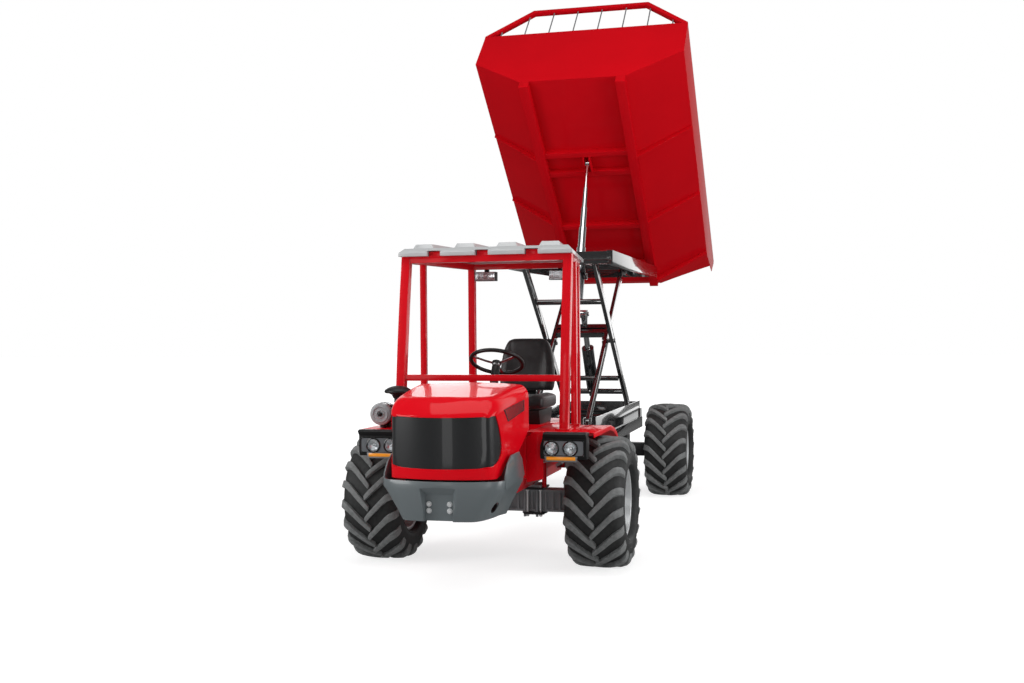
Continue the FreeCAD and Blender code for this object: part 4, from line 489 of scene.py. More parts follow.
def baked(made: Object) -> Mesh:
    """Return an object's evaluated mesh, with its modifiers applied, and delete the object."""
    bpy.context.view_layer.update()
    graph = bpy.context.evaluated_depsgraph_get()
    mesh = bpy.data.meshes.new_from_object(made.evaluated_get(graph))
    old = made.data
    made.modifiers.clear()
    bpy.data.objects.remove(made)
    if old.users == 0 and isinstance(old, Mesh):
        bpy.data.meshes.remove(old)
    return mesh


def scratch(source: Shape | Mesh) -> Object:
    """Return a temporary object of a mesh; a BMesh is freed."""
    return linked("scratch", mesh_of(source, name="scratch"))


def rounded(source: Shape, radius: float, segments: int = 2) -> Mesh:
    """Round the edges of a mesh that fold by more than BEVEL_DEG.

    Args:
        source: Closed mesh, which is freed.
        radius: Width of the rounding.
        segments: Faces across it.

    Returns:
        The rounded mesh.
    """
    made = scratch(source)
    bevel = made.modifiers.new("edges", "BEVEL")
    bevel.width = radius
    bevel.segments = segments
    bevel.limit_method = "ANGLE"
    bevel.angle_limit = math.radians(BEVEL_DEG)
    bevel.use_clamp_overlap = True
    bevel.harden_normals = False
    bevel.miter_outer = "MITER_ARC"
    return baked(made)


def thickened(source: Shape, thickness: float, offset: float) -> Mesh:
    """Give a sheet, which is freed, a thickness: inside it at offset -1, on both sides at 0."""
    made = scratch(source)
    thick = made.modifiers.new("thickness", "SOLIDIFY")
    thick.thickness = thickness
    thick.offset = offset
    thick.use_even_offset = False
    return baked(made)


def combined(base: Shape | Mesh, tool: Shape | Mesh, operation: str) -> Mesh:
    """Unite, cut or intersect two closed meshes, which are used up.

    Args:
        base: Mesh that is worked on.
        tool: Mesh that it is worked with.
        operation: UNION, DIFFERENCE or INTERSECT.

    Returns:
        The resulting mesh.
    """
    made, cutter = scratch(base), scratch(tool)
    change = made.modifiers.new("change", "BOOLEAN")
    change.object = cutter
    change.operation = operation
    change.solver = "EXACT"
    mesh = baked(made)
    bpy.data.objects.remove(cutter)
    return mesh


def joined(parts: Sequence[Shape | Mesh]) -> Shape:
    """Put several meshes into one, without welding them; the sources are freed."""
    whole = bmesh.new()
    for part in parts:
        mesh = mesh_of(part)
        whole.from_mesh(mesh)
        bpy.data.meshes.remove(mesh)
    return whole


def block(low: Point, high: Point) -> Shape:
    """Return a box between two corners."""
    work = bmesh.new()
    bmesh.ops.create_cube(work, size=1.0)
    size = Vector(high) - Vector(low)
    middle = (Vector(high) + Vector(low)) / 2
    matrix = Matrix.Translation(middle) @ Matrix.Diagonal((*size, 1))
    bmesh.ops.transform(work, matrix=matrix, verts=work.verts)
    return work


def loft(rings: Sequence[Sequence[Vector]], closed_ring: bool = True, caps: bool = False) -> Shape:
    """Skin a list of rings that have equally many points.

    Args:
        rings: Rings of points, in order.
        closed_ring: Whether each ring closes on itself.
        caps: Whether the first and last rings are filled.

    Returns:
        The skinned mesh.
    """
    work = bmesh.new()
    rows = [[work.verts.new(point) for point in ring] for ring in rings]
    count = len(rows[0])
    for row, following in zip(rows, rows[1:]):
        for i in range(count if closed_ring else count - 1):
            j = (i + 1) % count
            work.faces.new((row[i], row[j], following[j], following[i]))
    if caps:
        work.faces.new(rows[0][::-1])
        work.faces.new(rows[-1])
    return outward(work)


def placed(start: Point, axis: Point) -> Matrix:
    """Return the matrix that takes +Z to an axis and the origin to a start point."""
    turn = Vector(UPWARD).rotation_difference(Vector(axis).normalized())
    return Matrix.Translation(Vector(start)) @ turn.to_matrix().to_4x4()


def lathe(profile: Sequence[Pair], start: Point, axis: Point, steps: int = 48) -> Shape:
    """Turn a profile of (distance along the axis, radius) pairs about an axis.

    Args:
        profile: Closed outline, or an open one that begins and ends on the axis.
        start: Point on the axis from which distances count.
        axis: Direction of the axis.
        steps: Copies of the profile round the axis.

    Returns:
        The turned mesh.
    """
    rings = []
    for k in range(steps):
        a = 2 * math.pi * k / steps
        rings.append([Vector((r * math.cos(a), r * math.sin(a), d)) for d, r in profile])
    work = bmesh.new()
    rows = [[work.verts.new(point) for point in ring] for ring in rings]
    count = len(profile)
    on_axis = profile[0][1] < 1e-9 and profile[-1][1] < 1e-9
    for k, row in enumerate(rows):
        following = rows[(k + 1) % steps]
        for i in range(count - 1 if on_axis else count):
            j = (i + 1) % count
            work.faces.new((row[i], row[j], following[j], following[i]))
    bmesh.ops.remove_doubles(work, verts=work.verts, dist=1e-7)
    bmesh.ops.dissolve_degenerate(work, edges=work.edges, dist=1e-8)
    bmesh.ops.transform(work, matrix=placed(start, axis), verts=work.verts)
    return outward(work)


def turned(profile: Sequence[Pair], start: Point, axis: Point, steps: int = 48) -> Shape:
    """Turn a profile given in millimetres about an axis, as lathe does for metres."""
    return lathe([(d * MM, r * MM) for d, r in profile], start, axis, steps)


def rod(start: Point, end: Point, radius: float, edge: float, steps: int) -> Shape:
    """Return a round bar between two points with chamfered ends."""
    length = (Vector(end) - Vector(start)).length
    profile = [(0, 0), (0, radius - edge), (edge, radius), (length - edge, radius),
               (length, radius - edge), (length, 0)]
    if edge == 0.0:
        profile = [(0, 0), (0, radius), (length, radius), (length, 0)]
    return lathe(profile, start, Vector(end) - Vector(start), steps)


def pipe(points: Sequence[Point], radius: float, sides: int = 10, smooth: bool = True) -> Mesh:
    """Sweep a round section along a path.

    Args:
        points: Points of the path.
        radius: Radius of the section.
        sides: Faces round it.
        smooth: Whether the path is a smooth curve through the points.

    Returns:
        The swept mesh, with closed ends.
    """
    curve = bpy.data.curves.new("path", "CURVE")
    curve.dimensions = "3D"
    curve.bevel_depth = radius
    curve.bevel_resolution = max(0, sides // 4 - 1)
    curve.use_fill_caps = True
    spline = curve.splines.new("NURBS" if smooth else "POLY")
    spline.points.add(len(points) - 1)
    for target, point in zip(spline.points, points):
        target.co = (*point, 1.0)
    if smooth:
        spline.order_u = 3
        spline.use_endpoint_u = True
        spline.resolution_u = 8
    mesh = baked(linked("path", curve))
    bpy.data.curves.remove(curve)
    return mesh


def prism(outline: Sequence[Point], along: Point) -> Shape:
    """Extrude a flat outline of 3-D points along a vector."""
    shift = Vector(along)
    base = [Vector(point) for point in outline]
    return loft([base, [point + shift for point in base]], caps=True)


def bezier(points: Sequence[Pair], t: float) -> Pair:
    """Return the point a share t of the way along a cubic curve with four control points."""
    weights = ((1 - t) ** 3, 3 * t * (1 - t) ** 2, 3 * t * t * (1 - t), t ** 3)
    return tuple(sum(w * p[axis] for w, p in zip(weights, points)) for axis in (0, 1))


def node_copy(node: str) -> Shape:
    """Return a CAD node's mesh, merged and with its flat faces whole."""
    weld, flat = 2e-5, math.radians(0.6)
    work = opened(bpy.data.objects[node].data)
    bmesh.ops.remove_doubles(work, verts=work.verts, dist=weld)
    bmesh.ops.dissolve_limit(work, angle_limit=flat, verts=work.verts, edges=work.edges)
    return work


def mirrored(source: Shape) -> Shape:
    """Return a mirror image across the vehicle's middle plane; the source stays."""
    copy = source.copy()
    bmesh.ops.transform(copy, matrix=Matrix.Diagonal((-1, 1, 1, 1)), verts=copy.verts)
    bmesh.ops.reverse_faces(copy, faces=copy.faces)
    return copy


def with_mirror(source: Shape) -> Shape:
    """Return a mesh together with its mirror image."""
    return joined([mirrored(source), source])


class Repeater:
    """Geometry Nodes tree that repeats a mesh along a line or round the X axis."""

    def __init__(self) -> None:
        """Build the tree with its named inputs."""
        self.tree = bpy.data.node_groups.new("repeat", "GeometryNodeTree")
        face = self.tree.interface
        self.sockets: dict[str, str] = {}
        for name, kind in (("Geometry", "Geometry"), ("Count", "Int"), ("Shift", "Vector"),
                           ("Turn", "Vector"), ("Phase", "Float"), ("Finish", "Material"),
                           ("Crown", "Float"), ("Crown Finish", "Material")):
            made = face.new_socket(name, in_out="INPUT", socket_type="NodeSocket" + kind)
            self.sockets[name] = made.identifier
        face.new_socket("Geometry", in_out="OUTPUT", socket_type="NodeSocketGeometry")
        self.wire()

    def wire(self) -> None:
        """Add and link the nodes: points, instances, realized copies, then their materials."""
        tree = self.tree
        given = add_node(tree, "NodeGroupInput").outputs
        index = add_node(tree, "GeometryNodeInputIndex").outputs[0]
        step = add_node(tree, "ShaderNodeMath", {0: index, 1: given["Phase"]}, operation="ADD")
        spread = add_node(tree, "GeometryNodeSetPosition", {
            "Geometry": add_node(tree, "GeometryNodeMeshLine", {
                "Count": given["Count"], "Offset": ORIGIN}).outputs[0],
            "Position": self.scaled(given["Shift"], step.outputs[0])})
        copies = add_node(tree, "GeometryNodeInstanceOnPoints", {
            "Points": spread.outputs[0], "Instance": given["Geometry"],
            "Rotation": self.scaled(given["Turn"], step.outputs[0])})
        real = add_node(tree, "GeometryNodeRealizeInstances", {"Geometry": copies.outputs[0]})
        dressed = add_node(tree, "GeometryNodeSetMaterial", {
            "Geometry": real.outputs[0], "Material": given["Finish"]})
        where = add_node(tree, "GeometryNodeInputPosition").outputs[0]
        flat = add_node(tree, "ShaderNodeVectorMath", {0: where, 1: (0, 1, 1)},
                        operation="MULTIPLY")
        radius = add_node(tree, "ShaderNodeVectorMath", {0: flat.outputs[0]}, operation="LENGTH")
        outer = add_node(tree, "ShaderNodeMath", {
            0: radius.outputs["Value"], 1: given["Crown"]}, operation="GREATER_THAN")
        crowned = add_node(tree, "GeometryNodeSetMaterial", {
            "Geometry": dressed.outputs[0], "Selection": outer.outputs[0],
            "Material": given["Crown Finish"]})
        add_node(tree, "NodeGroupOutput", {0: crowned.outputs[0]})

    def scaled(self, vector: Socket, factor: Socket) -> Socket:
        """Return a vector multiplied by a factor."""
        node = add_node(self.tree, "ShaderNodeVectorMath", {0: vector, "Scale": factor},
                        operation="SCALE")
        return node.outputs[0]

    def copies(self, source: Shape | Mesh, count: int, finish: Finish, shift: Point = ORIGIN,
               turn: Point = ORIGIN, phase: float = 0.0, crown: float = 1e6,
               crown_finish: Finish | None = None) -> Mesh:
        """Repeat a mesh and return the copies as one mesh with its materials.

        Args:
            source: Mesh to repeat; it is used up.
            count: Number of copies.
            finish: Finish of the copies.
            shift: Step from a copy to the next.
            turn: Euler turn from a copy to the next, in radians.
            phase: Steps before the first copy.
            crown: Distance from the X axis beyond which faces take the other finish.
            crown_finish: That other finish.

        Returns:
            The mesh of all copies.
        """
        made = scratch(source)
        modifier = made.modifiers.new("repeat", "NODES")
        modifier.node_group = self.tree
        values = {"Count": count, "Shift": tuple(shift), "Turn": tuple(turn), "Phase": phase,
                  "Crown": crown, "Finish": finish.material(),
                  "Crown Finish": (crown_finish or finish).material()}
        for name, value in values.items():
            modifier[self.sockets[name]] = value
        return baked(made)


@dataclass(frozen=True)
class Datum:
    """Row-frame position of the front axle, from which the vehicle is laid out in millimetres."""

    axle_y: float

    def __call__(self, x: float, y: float, z: float) -> Vector:
        """Return the point x to the left, y behind the front axle and z above the ground."""
        return Vector((x * MM, self.axle_y + y * MM, z * MM))

    def box(self, x: Pair, y: Pair, z: Pair) -> Shape:
        """Return a block that spans the given stretch along each axis."""
        return block(self(x[0], y[0], z[0]), self(x[1], y[1], z[1]))

    @classmethod
    def measured(cls) -> "Datum":
        """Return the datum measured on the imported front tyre."""
        low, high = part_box("tyre_front_left")
        return cls((low[1] + high[1]) / 2)


# --- wheels -----------------------------------------------------------------------------

@dataclass
class Wheel:
    """Farm flotation tyre on a silver rim, drawn round the X axis for the left side."""

    repeat: Repeater
    end: str
    side: str
    lug_count: int = 18
    carcass: tuple[Pair, ...] = (
        (0, 415), (50, 414.4), (100, 411), (137, 405), (160, 396), (177, 381), (188, 362),
        (194, 344), (198, 322), (199, 305), (197.4, 303), (198, 288), (195, 272), (190, 262),
        (192, 257), (187, 250), (176, 245), (160, 242), (151, 241), (151, 226), (140, 226),
        (142, 250), (160, 270), (176, 306), (170, 345), (148, 372), (100, 392), (0, 398))
    outer_points: int = 21
    lug: tuple[tuple[float, float, float, float, float], ...] = (
        (-16, -4, 15, 440.0, 404), (-8, 4, 19, 442.3, 404), (24, 38, 21, 442.3, 404),
        (62, 76, 22, 441, 402), (100, 115, 23, 438.6, 400), (137, 149, 25, 435, 392),
        (163, 163, 26, 425, 380), (182, 170, 27, 409, 364), (192, 173, 28, 393, 350),
        (197, 175, 28, 372, 345), (197.6, 176, 27, 352, 340))
    lug_r: float = 430.0
    crown_r: float = 423.5
    lip: tuple[Pair, ...] = (
        (75, 195.5), (99, 225.5), (148, 225.7), (150.6, 228), (151, 236), (153, 240.6), (156, 242),
        (158.4, 240), (159, 236), (158.6, 222), (155, 218), (103, 217.6), (79, 187.6))
    dish: tuple[Pair, ...] = (
        (48, 58), (60, 58), (60, 116), (57, 124), (40, 160), (33, 172), (20, 186), (20, 190),
        (8, 190), (8, 184), (20, 168), (28, 154), (45, 118), (48, 110))
    hub: tuple[Pair, ...] = (
        (32, 0), (32, 105), (46, 105), (49, 104), (50, 60), (62, 57), (76, 54), (92, 50),
        (95, 44), (101, 38), (104, 28), (104, 0))
    nut_count: int = 8
    nut_circle: float = 86.0
    nut_face_x: float = 60.0

    def build(self) -> None:
        """Build the tyre, rim, hub and nuts and put them where the CAD wheel is."""
        low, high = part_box(f"tyre_{self.end}_{self.side}")
        centre = Vector([(a + b) / 2 for a, b in zip(low, high)])
        name = f"{self.end}_{self.side}"
        for kind, source, finishes, nodes in (
                ("tyre_carcass_", self.tyre(), (WALL_RUBBER,), ["tyre_" + name]),
                ("tyre_lugs_", self.lugs(), (TREAD_RUBBER, TREAD_FACE), []),
                ("rim_band_", self.rim(), (WHEEL_SILVER,), ["rim_" + name]),
                ("wheel_nuts_", self.nuts(), (ZINC,), [])):
            work = joined([source])
            if self.side == "right":
                work = mirrored(work)
            bmesh.ops.translate(work, vec=centre, verts=work.verts)
            piece(kind + name, work, finishes, nodes, "wheel_" + name, 38.0)

    def tyre(self) -> Shape:
        """Return the carcass: crown, shoulders, sidewalls with a rim guard, and the beads."""
        cut = self.outer_points
        other = tuple((-x, r) for x, r in self.carcass)
        profile = other[1:cut][::-1] + self.carcass + other[cut:-1][::-1]
        return turned(profile, ORIGIN, SIDEWAYS, 96)

    def one_lug(self) -> Mesh:
        """Return one tread bar, bent at its knee and running down over the shoulder."""
        rings = []
        flare, draft, tilt = 5, 3, 4.0
        for x, s, half, top, root in self.lug:
            ring = []
            for width, r, lean in ((half + flare, root, 0), (half - draft, top, -tilt),
                                   (-half + draft, top, tilt), (-half - flare, root, 0)):
                a = (s + width) / self.lug_r
                ring.append(Vector(((x + lean) * MM, r * MM * math.sin(a), r * MM * math.cos(a))))
            rings.append(ring)
        return rounded(loft(rings, caps=True), 3.5 * MM, 2)

    def lugs(self) -> Mesh:
        """Return both rows of tread bars; the rows are staggered by half a pitch."""
        pitch = -2 * math.pi / self.lug_count
        rows = []
        for side in (1, -1):
            bar = self.one_lug()
            if side < 0:
                bar = mesh_of(mirrored(joined([bar])))
            rows.append(self.repeat.copies(
                bar, self.lug_count, TREAD_RUBBER, turn=(pitch, 0, 0), phase=0.25 * side,
                crown=self.crown_r * MM, crown_finish=TREAD_FACE))
        return mesh_of(joined(rows), (TREAD_RUBBER, TREAD_FACE))

    def rim(self) -> Shape:
        """Return the drop-centre band, the dished disc and the hub."""
        shell = self.lip + tuple((-x, r) for x, r in self.lip[::-1])
        parts = [rounded(turned(shell, ORIGIN, SIDEWAYS, 72), 1.5 * MM, 1)]
        for profile in (self.dish, self.hub):
            parts.append(turned(profile, ORIGIN, SIDEWAYS, 64))
        return joined(parts)

    def nuts(self) -> Mesh:
        """Return the ring of wheel nuts, each a washer, a hexagon and a stud's end."""
        x, z = self.nut_face_x * MM, self.nut_circle * MM
        nut = joined([rod((x, 0, z), (x + 0.004, 0, z), 0.0155, 0.001, 20),
                      rod((x + 0.003, 0, z), (x + 0.0145, 0, z), 0.0128, 0.0015, 6),
                      rod((x + 0.012, 0, z), (x + 0.0147, 0, z), 0.0065, 0.001, 12)])
        turn = (2 * math.pi / self.nut_count, 0, 0)
        return self.repeat.copies(nut, self.nut_count, ZINC, turn=turn)


# --- nose -------------------------------------------------------------------------------

def mixed(a: float, b: float, t: float) -> float:
    """Return the value a share t of the way from a to b."""
    return a + (b - a) * t


def smooth(t: float) -> float:
    """Return t clamped to 0-1 and eased at both ends."""
    t = min(1.0, max(0.0, t))
    return t * t * (3 - 2 * t)


def along(table: Sequence[Pair], value: float) -> float:
    """Read a table of rising (position, value) pairs, held beyond its ends."""
    if value <= table[0][0]:
        return table[0][1]
    for (p0, v0), (p1, v1) in zip(table, table[1:]):
        if value <= p1:
            return mixed(v0, v1, (value - p0) / (p1 - p0))
    return table[-1][1]


@dataclass
class Hood:
    """Moulded engine lid: a bowed front with a wide window, rounded brow and shoulders."""

    at: Datum
    front: float = -1216.0
    rear: float = -530.0
    bow: float = 53.0
    arc_half: float = 285.0
    corner: tuple[Pair, ...] = ((285, -1163), (322, -1150), (345, -1090), (354, -990))
    rear_half: float = 389.7
    foot: tuple[Pair, ...] = ((-1100, 716), (-1050, 733), (-990, 780), (-960, 806), (-730, 843),
                              (-530, 968))
    crest: tuple[Pair, ...] = ((-1216, 1181), (-1110, 1199), (-900, 1226), (-700, 1251),
                               (-530, 1266))
    camber: float = 14.0
    camber_half: float = 350.0
    window_low: float = 778.0
    window_high: float = 1084.0
    window_edge: tuple[Pair, ...] = (
        (0, 250), (0.012, 300), (0.04, 342), (0.09, 378), (0.16, 408), (0.25, 430), (0.38, 440),
        (0.55, 432), (0.8, 402), (1, 370))
    brow_edge: float = 360.0
    window_sag: Pair = (5.0, 9.0)
    grille_sink: float = 7.0
    side_rounding: Triple = (76.0, 58.0, 2.0)
    nose_rounding: Triple = (92.0, 122.0, 1.32)
    spine_front: float = -950.0
    wall: float = 6.0
    hinge: Pair = (-478.0, 1200.0)
    lug_x: float = 255.0
    lug_t: float = 8.0
    vent_corners: tuple[Pair, ...] = ((-1003, 1121), (-622, 1161), (-623, 1094), (-930, 1045))
    vent_bars: int = 11
    path: list[Pair] = field(default_factory=list)
    reach: list[float] = field(default_factory=list)

    def __post_init__(self) -> None:
        """Lay out the half plan outline and its running length."""
        count = 24
        for i in range(count):
            x = self.arc_half * i / count
            self.path.append((x, self.front + self.bow * (x / self.arc_half) ** 2))
        self.path += [bezier(self.corner, i / count) for i in range(count)]
        self.path += [self.corner[-1], (self.rear_half, self.rear)]
        self.reach = [0.0]
        for (x0, y0), (x1, y1) in zip(self.path, self.path[1:]):
            self.reach.append(self.reach[-1] + math.hypot(x1 - x0, y1 - y0))

    def on_plan(self, a: float) -> Quad:
        """Return x, y and the outward normal at a distance round the plan, minus on the right."""
        side = -1.0 if a < 0 else 1.0
        a = min(abs(a), self.reach[-1])
        i = next((k for k in range(1, len(self.reach)) if self.reach[k] >= a), len(self.reach) - 1)
        t = (a - self.reach[i - 1]) / (self.reach[i] - self.reach[i - 1])
        (x0, y0), (x1, y1) = self.path[i - 1], self.path[i]
        run = math.hypot(x1 - x0, y1 - y0)
        return (side * mixed(x0, x1, t), mixed(y0, y1, t), side * (y1 - y0) / run,
                -(x1 - x0) / run)

    def top(self, x: float, y: float) -> float:
        """Return the height of the lid's upper surface before its edges are rounded off."""
        return along(self.crest, y) - self.camber * (x / self.camber_half) ** 2

    def edge(self, a: float) -> Triple:
        """Return the drop, width and fullness of the rounding at a place on the plan."""
        ny = self.on_plan(a)[3]
        share = smooth(-ny * 1.5)
        return tuple(mixed(a, b, share) for a, b in zip(self.side_rounding, self.nose_rounding))

    def lip(self, a: float) -> float:
        """Return the height where the upright wall ends."""
        x, y = self.on_plan(a)[:2]
        return self.top(x, y) - self.edge(a)[0]

    def rows(self) -> list[tuple[str, float]]:
        """Return the grid's rows from the foot up: chin, window and brow, each with its share."""
        shares = {"chin": (0, 0.08, 0.5, 0.92),
                  "window": (0, 0.012, 0.04, 0.09, 0.16, 0.25, 0.38, 0.55, 0.68, 0.8, 0.9, 0.96, 1),
                  "brow": (0.4, 1.0)}
        return [(kind, share) for kind, values in shares.items() for share in values]

    def columns(self) -> list[Pair]:
        """Return the grid's columns: (k, q), k across the window and q behind its edge."""
        inside = [-1 + i / 16 for i in range(33)]
        behind = [0.012, 0.05, 0.1, 0.17, 0.25, 0.33, 0.42, 0.5, 0.6, 0.7, 0.8, 0.9, 0.98, 1.0]
        right, left = [(-1, q) for q in behind[::-1]], [(1, q) for q in behind]
        return right + [(k, 0.0) for k in inside] + left

    def place(self, row: tuple[str, float], share: float, column: Pair) -> tuple[float, float]:
        """Return the distance round the plan and the height of a grid point of the wall."""
        kind, value = row
        k, q = column
        m = {"chin": 0.0, "window": value, "brow": 1.0}[kind]
        edge = along(self.window_edge, m)
        if kind == "brow":
            edge = mixed(edge, self.brow_edge, value)
        a = k * mixed(edge, self.reach[-1], q)
        low = self.window_low + self.window_sag[0] * k * k
        high = self.window_high + self.window_sag[1] * k * k
        base = along(self.foot, self.on_plan(k * edge)[1])
        z = {"chin": mixed(base, low, value), "window": mixed(low, high, value),
             "brow": mixed(high, self.lip(k * edge), value)}[kind]
        foot = along(self.foot, self.on_plan(a)[1])
        even = mixed(foot, self.lip(a), share)
        z = mixed(z, even, smooth(q * 2.2))
        return a, min(max(z, foot), self.lip(a)) if q > 0 else z

    def wall_point(self, a: float, z: float, sink: float = 0.0) -> Vector:
        """Return a point of the upright wall, sunk below its outer face."""
        x, y, nx, ny = self.on_plan(a)
        return self.at(x - nx * sink, y - ny * sink, z)

    def crown_ring(self, a: float) -> list[Vector]:
        """Return the points over the rounding from the wall's lip to the spine."""
        x, y, nx, ny = self.on_plan(a)
        goal_y = max(y, self.spine_front)
        length = math.hypot(x, y - goal_y) or 1.0
        drop, width, full = self.edge(a)
        points = [(t * width, t) for t in (0.015, 0.05, 0.11, 0.19, 0.29, 0.41, 0.55, 0.7, 0.85, 1)]
        points += [(mixed(width, length, f), 1.0) for f in (0.15, 0.35, 0.6, 0.8, 0.94, 0.999)]
        ring = []
        for d, t in points:
            s = 1 - d / length
            px, py = x * s, goal_y + (y - goal_y) * s
            fall = drop * (1 - (1 - (1 - t) ** full) ** (1 / full))
            ring.append(self.at(px, py, self.top(px, py) - fall))
        return ring

    def skin(self) -> Mesh:
        """Return the lid as a sheet with its window open, thickened inwards."""
        rows, columns = self.rows(), self.columns()
        window = [i for i, row in enumerate(rows) if row[0] == "window"]
        work = bmesh.new()
        grid = []
        for j, row in enumerate(rows):
            share = j / (len(rows) - 1)
            grid.append([work.verts.new(self.wall_point(*self.place(row, share, column)))
                         for column in columns])
        rings = [self.crown_ring(self.place(rows[-1], 1.0, column)[0]) for column in columns]
        for level in range(len(rings[0])):
            grid.append([work.verts.new(ring[level]) for ring in rings])
        for j in range(len(grid) - 1):
            for i in range(len(columns) - 1):
                open_row = window[0] <= j < window[-1]
                open_column = columns[i][1] == 0.0 and columns[i + 1][1] == 0.0
                if not (open_row and open_column):
                    work.faces.new((grid[j][i], grid[j][i + 1],
                                    grid[j + 1][i + 1], grid[j + 1][i]))
        bmesh.ops.remove_doubles(work, verts=work.verts, dist=2e-4)
        bmesh.ops.dissolve_degenerate(work, edges=work.edges, dist=1e-6)
        return thickened(work, self.wall * MM, -1.0)

    def build(self) -> None:
        """Build the lid with its hinge lugs, the grille panel and both side vents."""
        lugs = [mesh_of(part) for part in self.hinge_lugs()]
        lid = joined([self.skin()] + lugs)
        piece("hood_lid", lid, RED, ["hood_shell"], "hood", 30.0)
        piece("grille_panel", self.grille_panel(), GRILLE_BLACK, ["grille"], "hood", 40.0)
        piece("hood_vents", with_mirror(self.vent()), VENT_GREY, body="hood")

    def hinge_lugs(self) -> list[Shape]:
        """Return the hinge lugs: a plate under the lid's rear edge with a pin eye at its end."""
        y, z = self.hinge
        parts = []
        for x in (-self.lug_x - self.lug_t / 2, self.lug_x - self.lug_t / 2):
            outline = [self.at(x, self.rear - 45, z + 36), self.at(x, y + 4, z + 18),
                       self.at(x, y + 4, z - 18), self.at(x, self.rear - 45, z - 6)]
            parts.append(prism(outline, (self.lug_t * MM, 0, 0)))
            parts.append(rod(self.at(x, y, z), self.at(x + self.lug_t, y, z), 0.020, 0.001, 28))
        return parts

    def window_sheet(self, sink: float, count: int, marks: Point) -> list[list[Vector]]:
        """Return rows of points over the window, sunk below the lid's face."""
        sheet = []
        for m in marks:
            places = [self.place(("window", m), 0.0, (-1 + 2 * i / count, 0.0))
                      for i in range(count + 1)]
            sheet.append([self.wall_point(a, z, sink) for a, z in places])
        return sheet

    def grille_panel(self) -> Mesh:
        """Return the dark tinted sheet that fills the window."""
        marks = [m for kind, m in self.rows() if kind == "window"]
        sheet = loft(self.window_sheet(self.grille_sink, 48, marks), closed_ring=False)
        return thickened(sheet, 0.003, 0.0)

    def vent(self) -> Shape:
        """Return the left side's slanted vent: a framed panel with fine louvres."""
        sections = ((1.0, -3), (1.0, 2.2), (0.985, 3.4), (0.955, 3.4), (0.945, 0.6), (0.945, -2))
        parts: list = [loft([self.vent_ring(*section) for section in sections], caps=True)]
        top_front, top_rear, low_rear, low_front = self.vent_ring(0.93, 1.2)
        for i in range(self.vent_bars):
            t = (i + 0.5) / self.vent_bars
            start, end = top_front.lerp(low_front, t), top_rear.lerp(low_rear, t)
            size = Matrix.Diagonal((0.0035, 0.0022, (end - start).length, 1))
            bar = mesh_of(block((-0.5, -0.5, -0.5), (0.5, 0.5, 0.5)))
            bar.transform(placed((start + end) / 2, end - start) @ size)
            parts.append(bar)
        return joined(parts)

    def vent_ring(self, grow: float, out: float) -> list[Vector]:
        """Return the vent's outline scaled by grow, at a height out over the lid's side."""
        wall_x, wall_y = self.corner[-1]
        slope = 0.0775
        mean_y, mean_z = (sum(p[i] for p in self.vent_corners) / 4 for i in (0, 1))
        points = []
        for y, z in self.vent_corners:
            y, z = mean_y + (y - mean_y) * grow, mean_z + (z - mean_z) * grow
            points.append(self.at(wall_x + slope * (y - wall_y) + out, y, z))
        return points


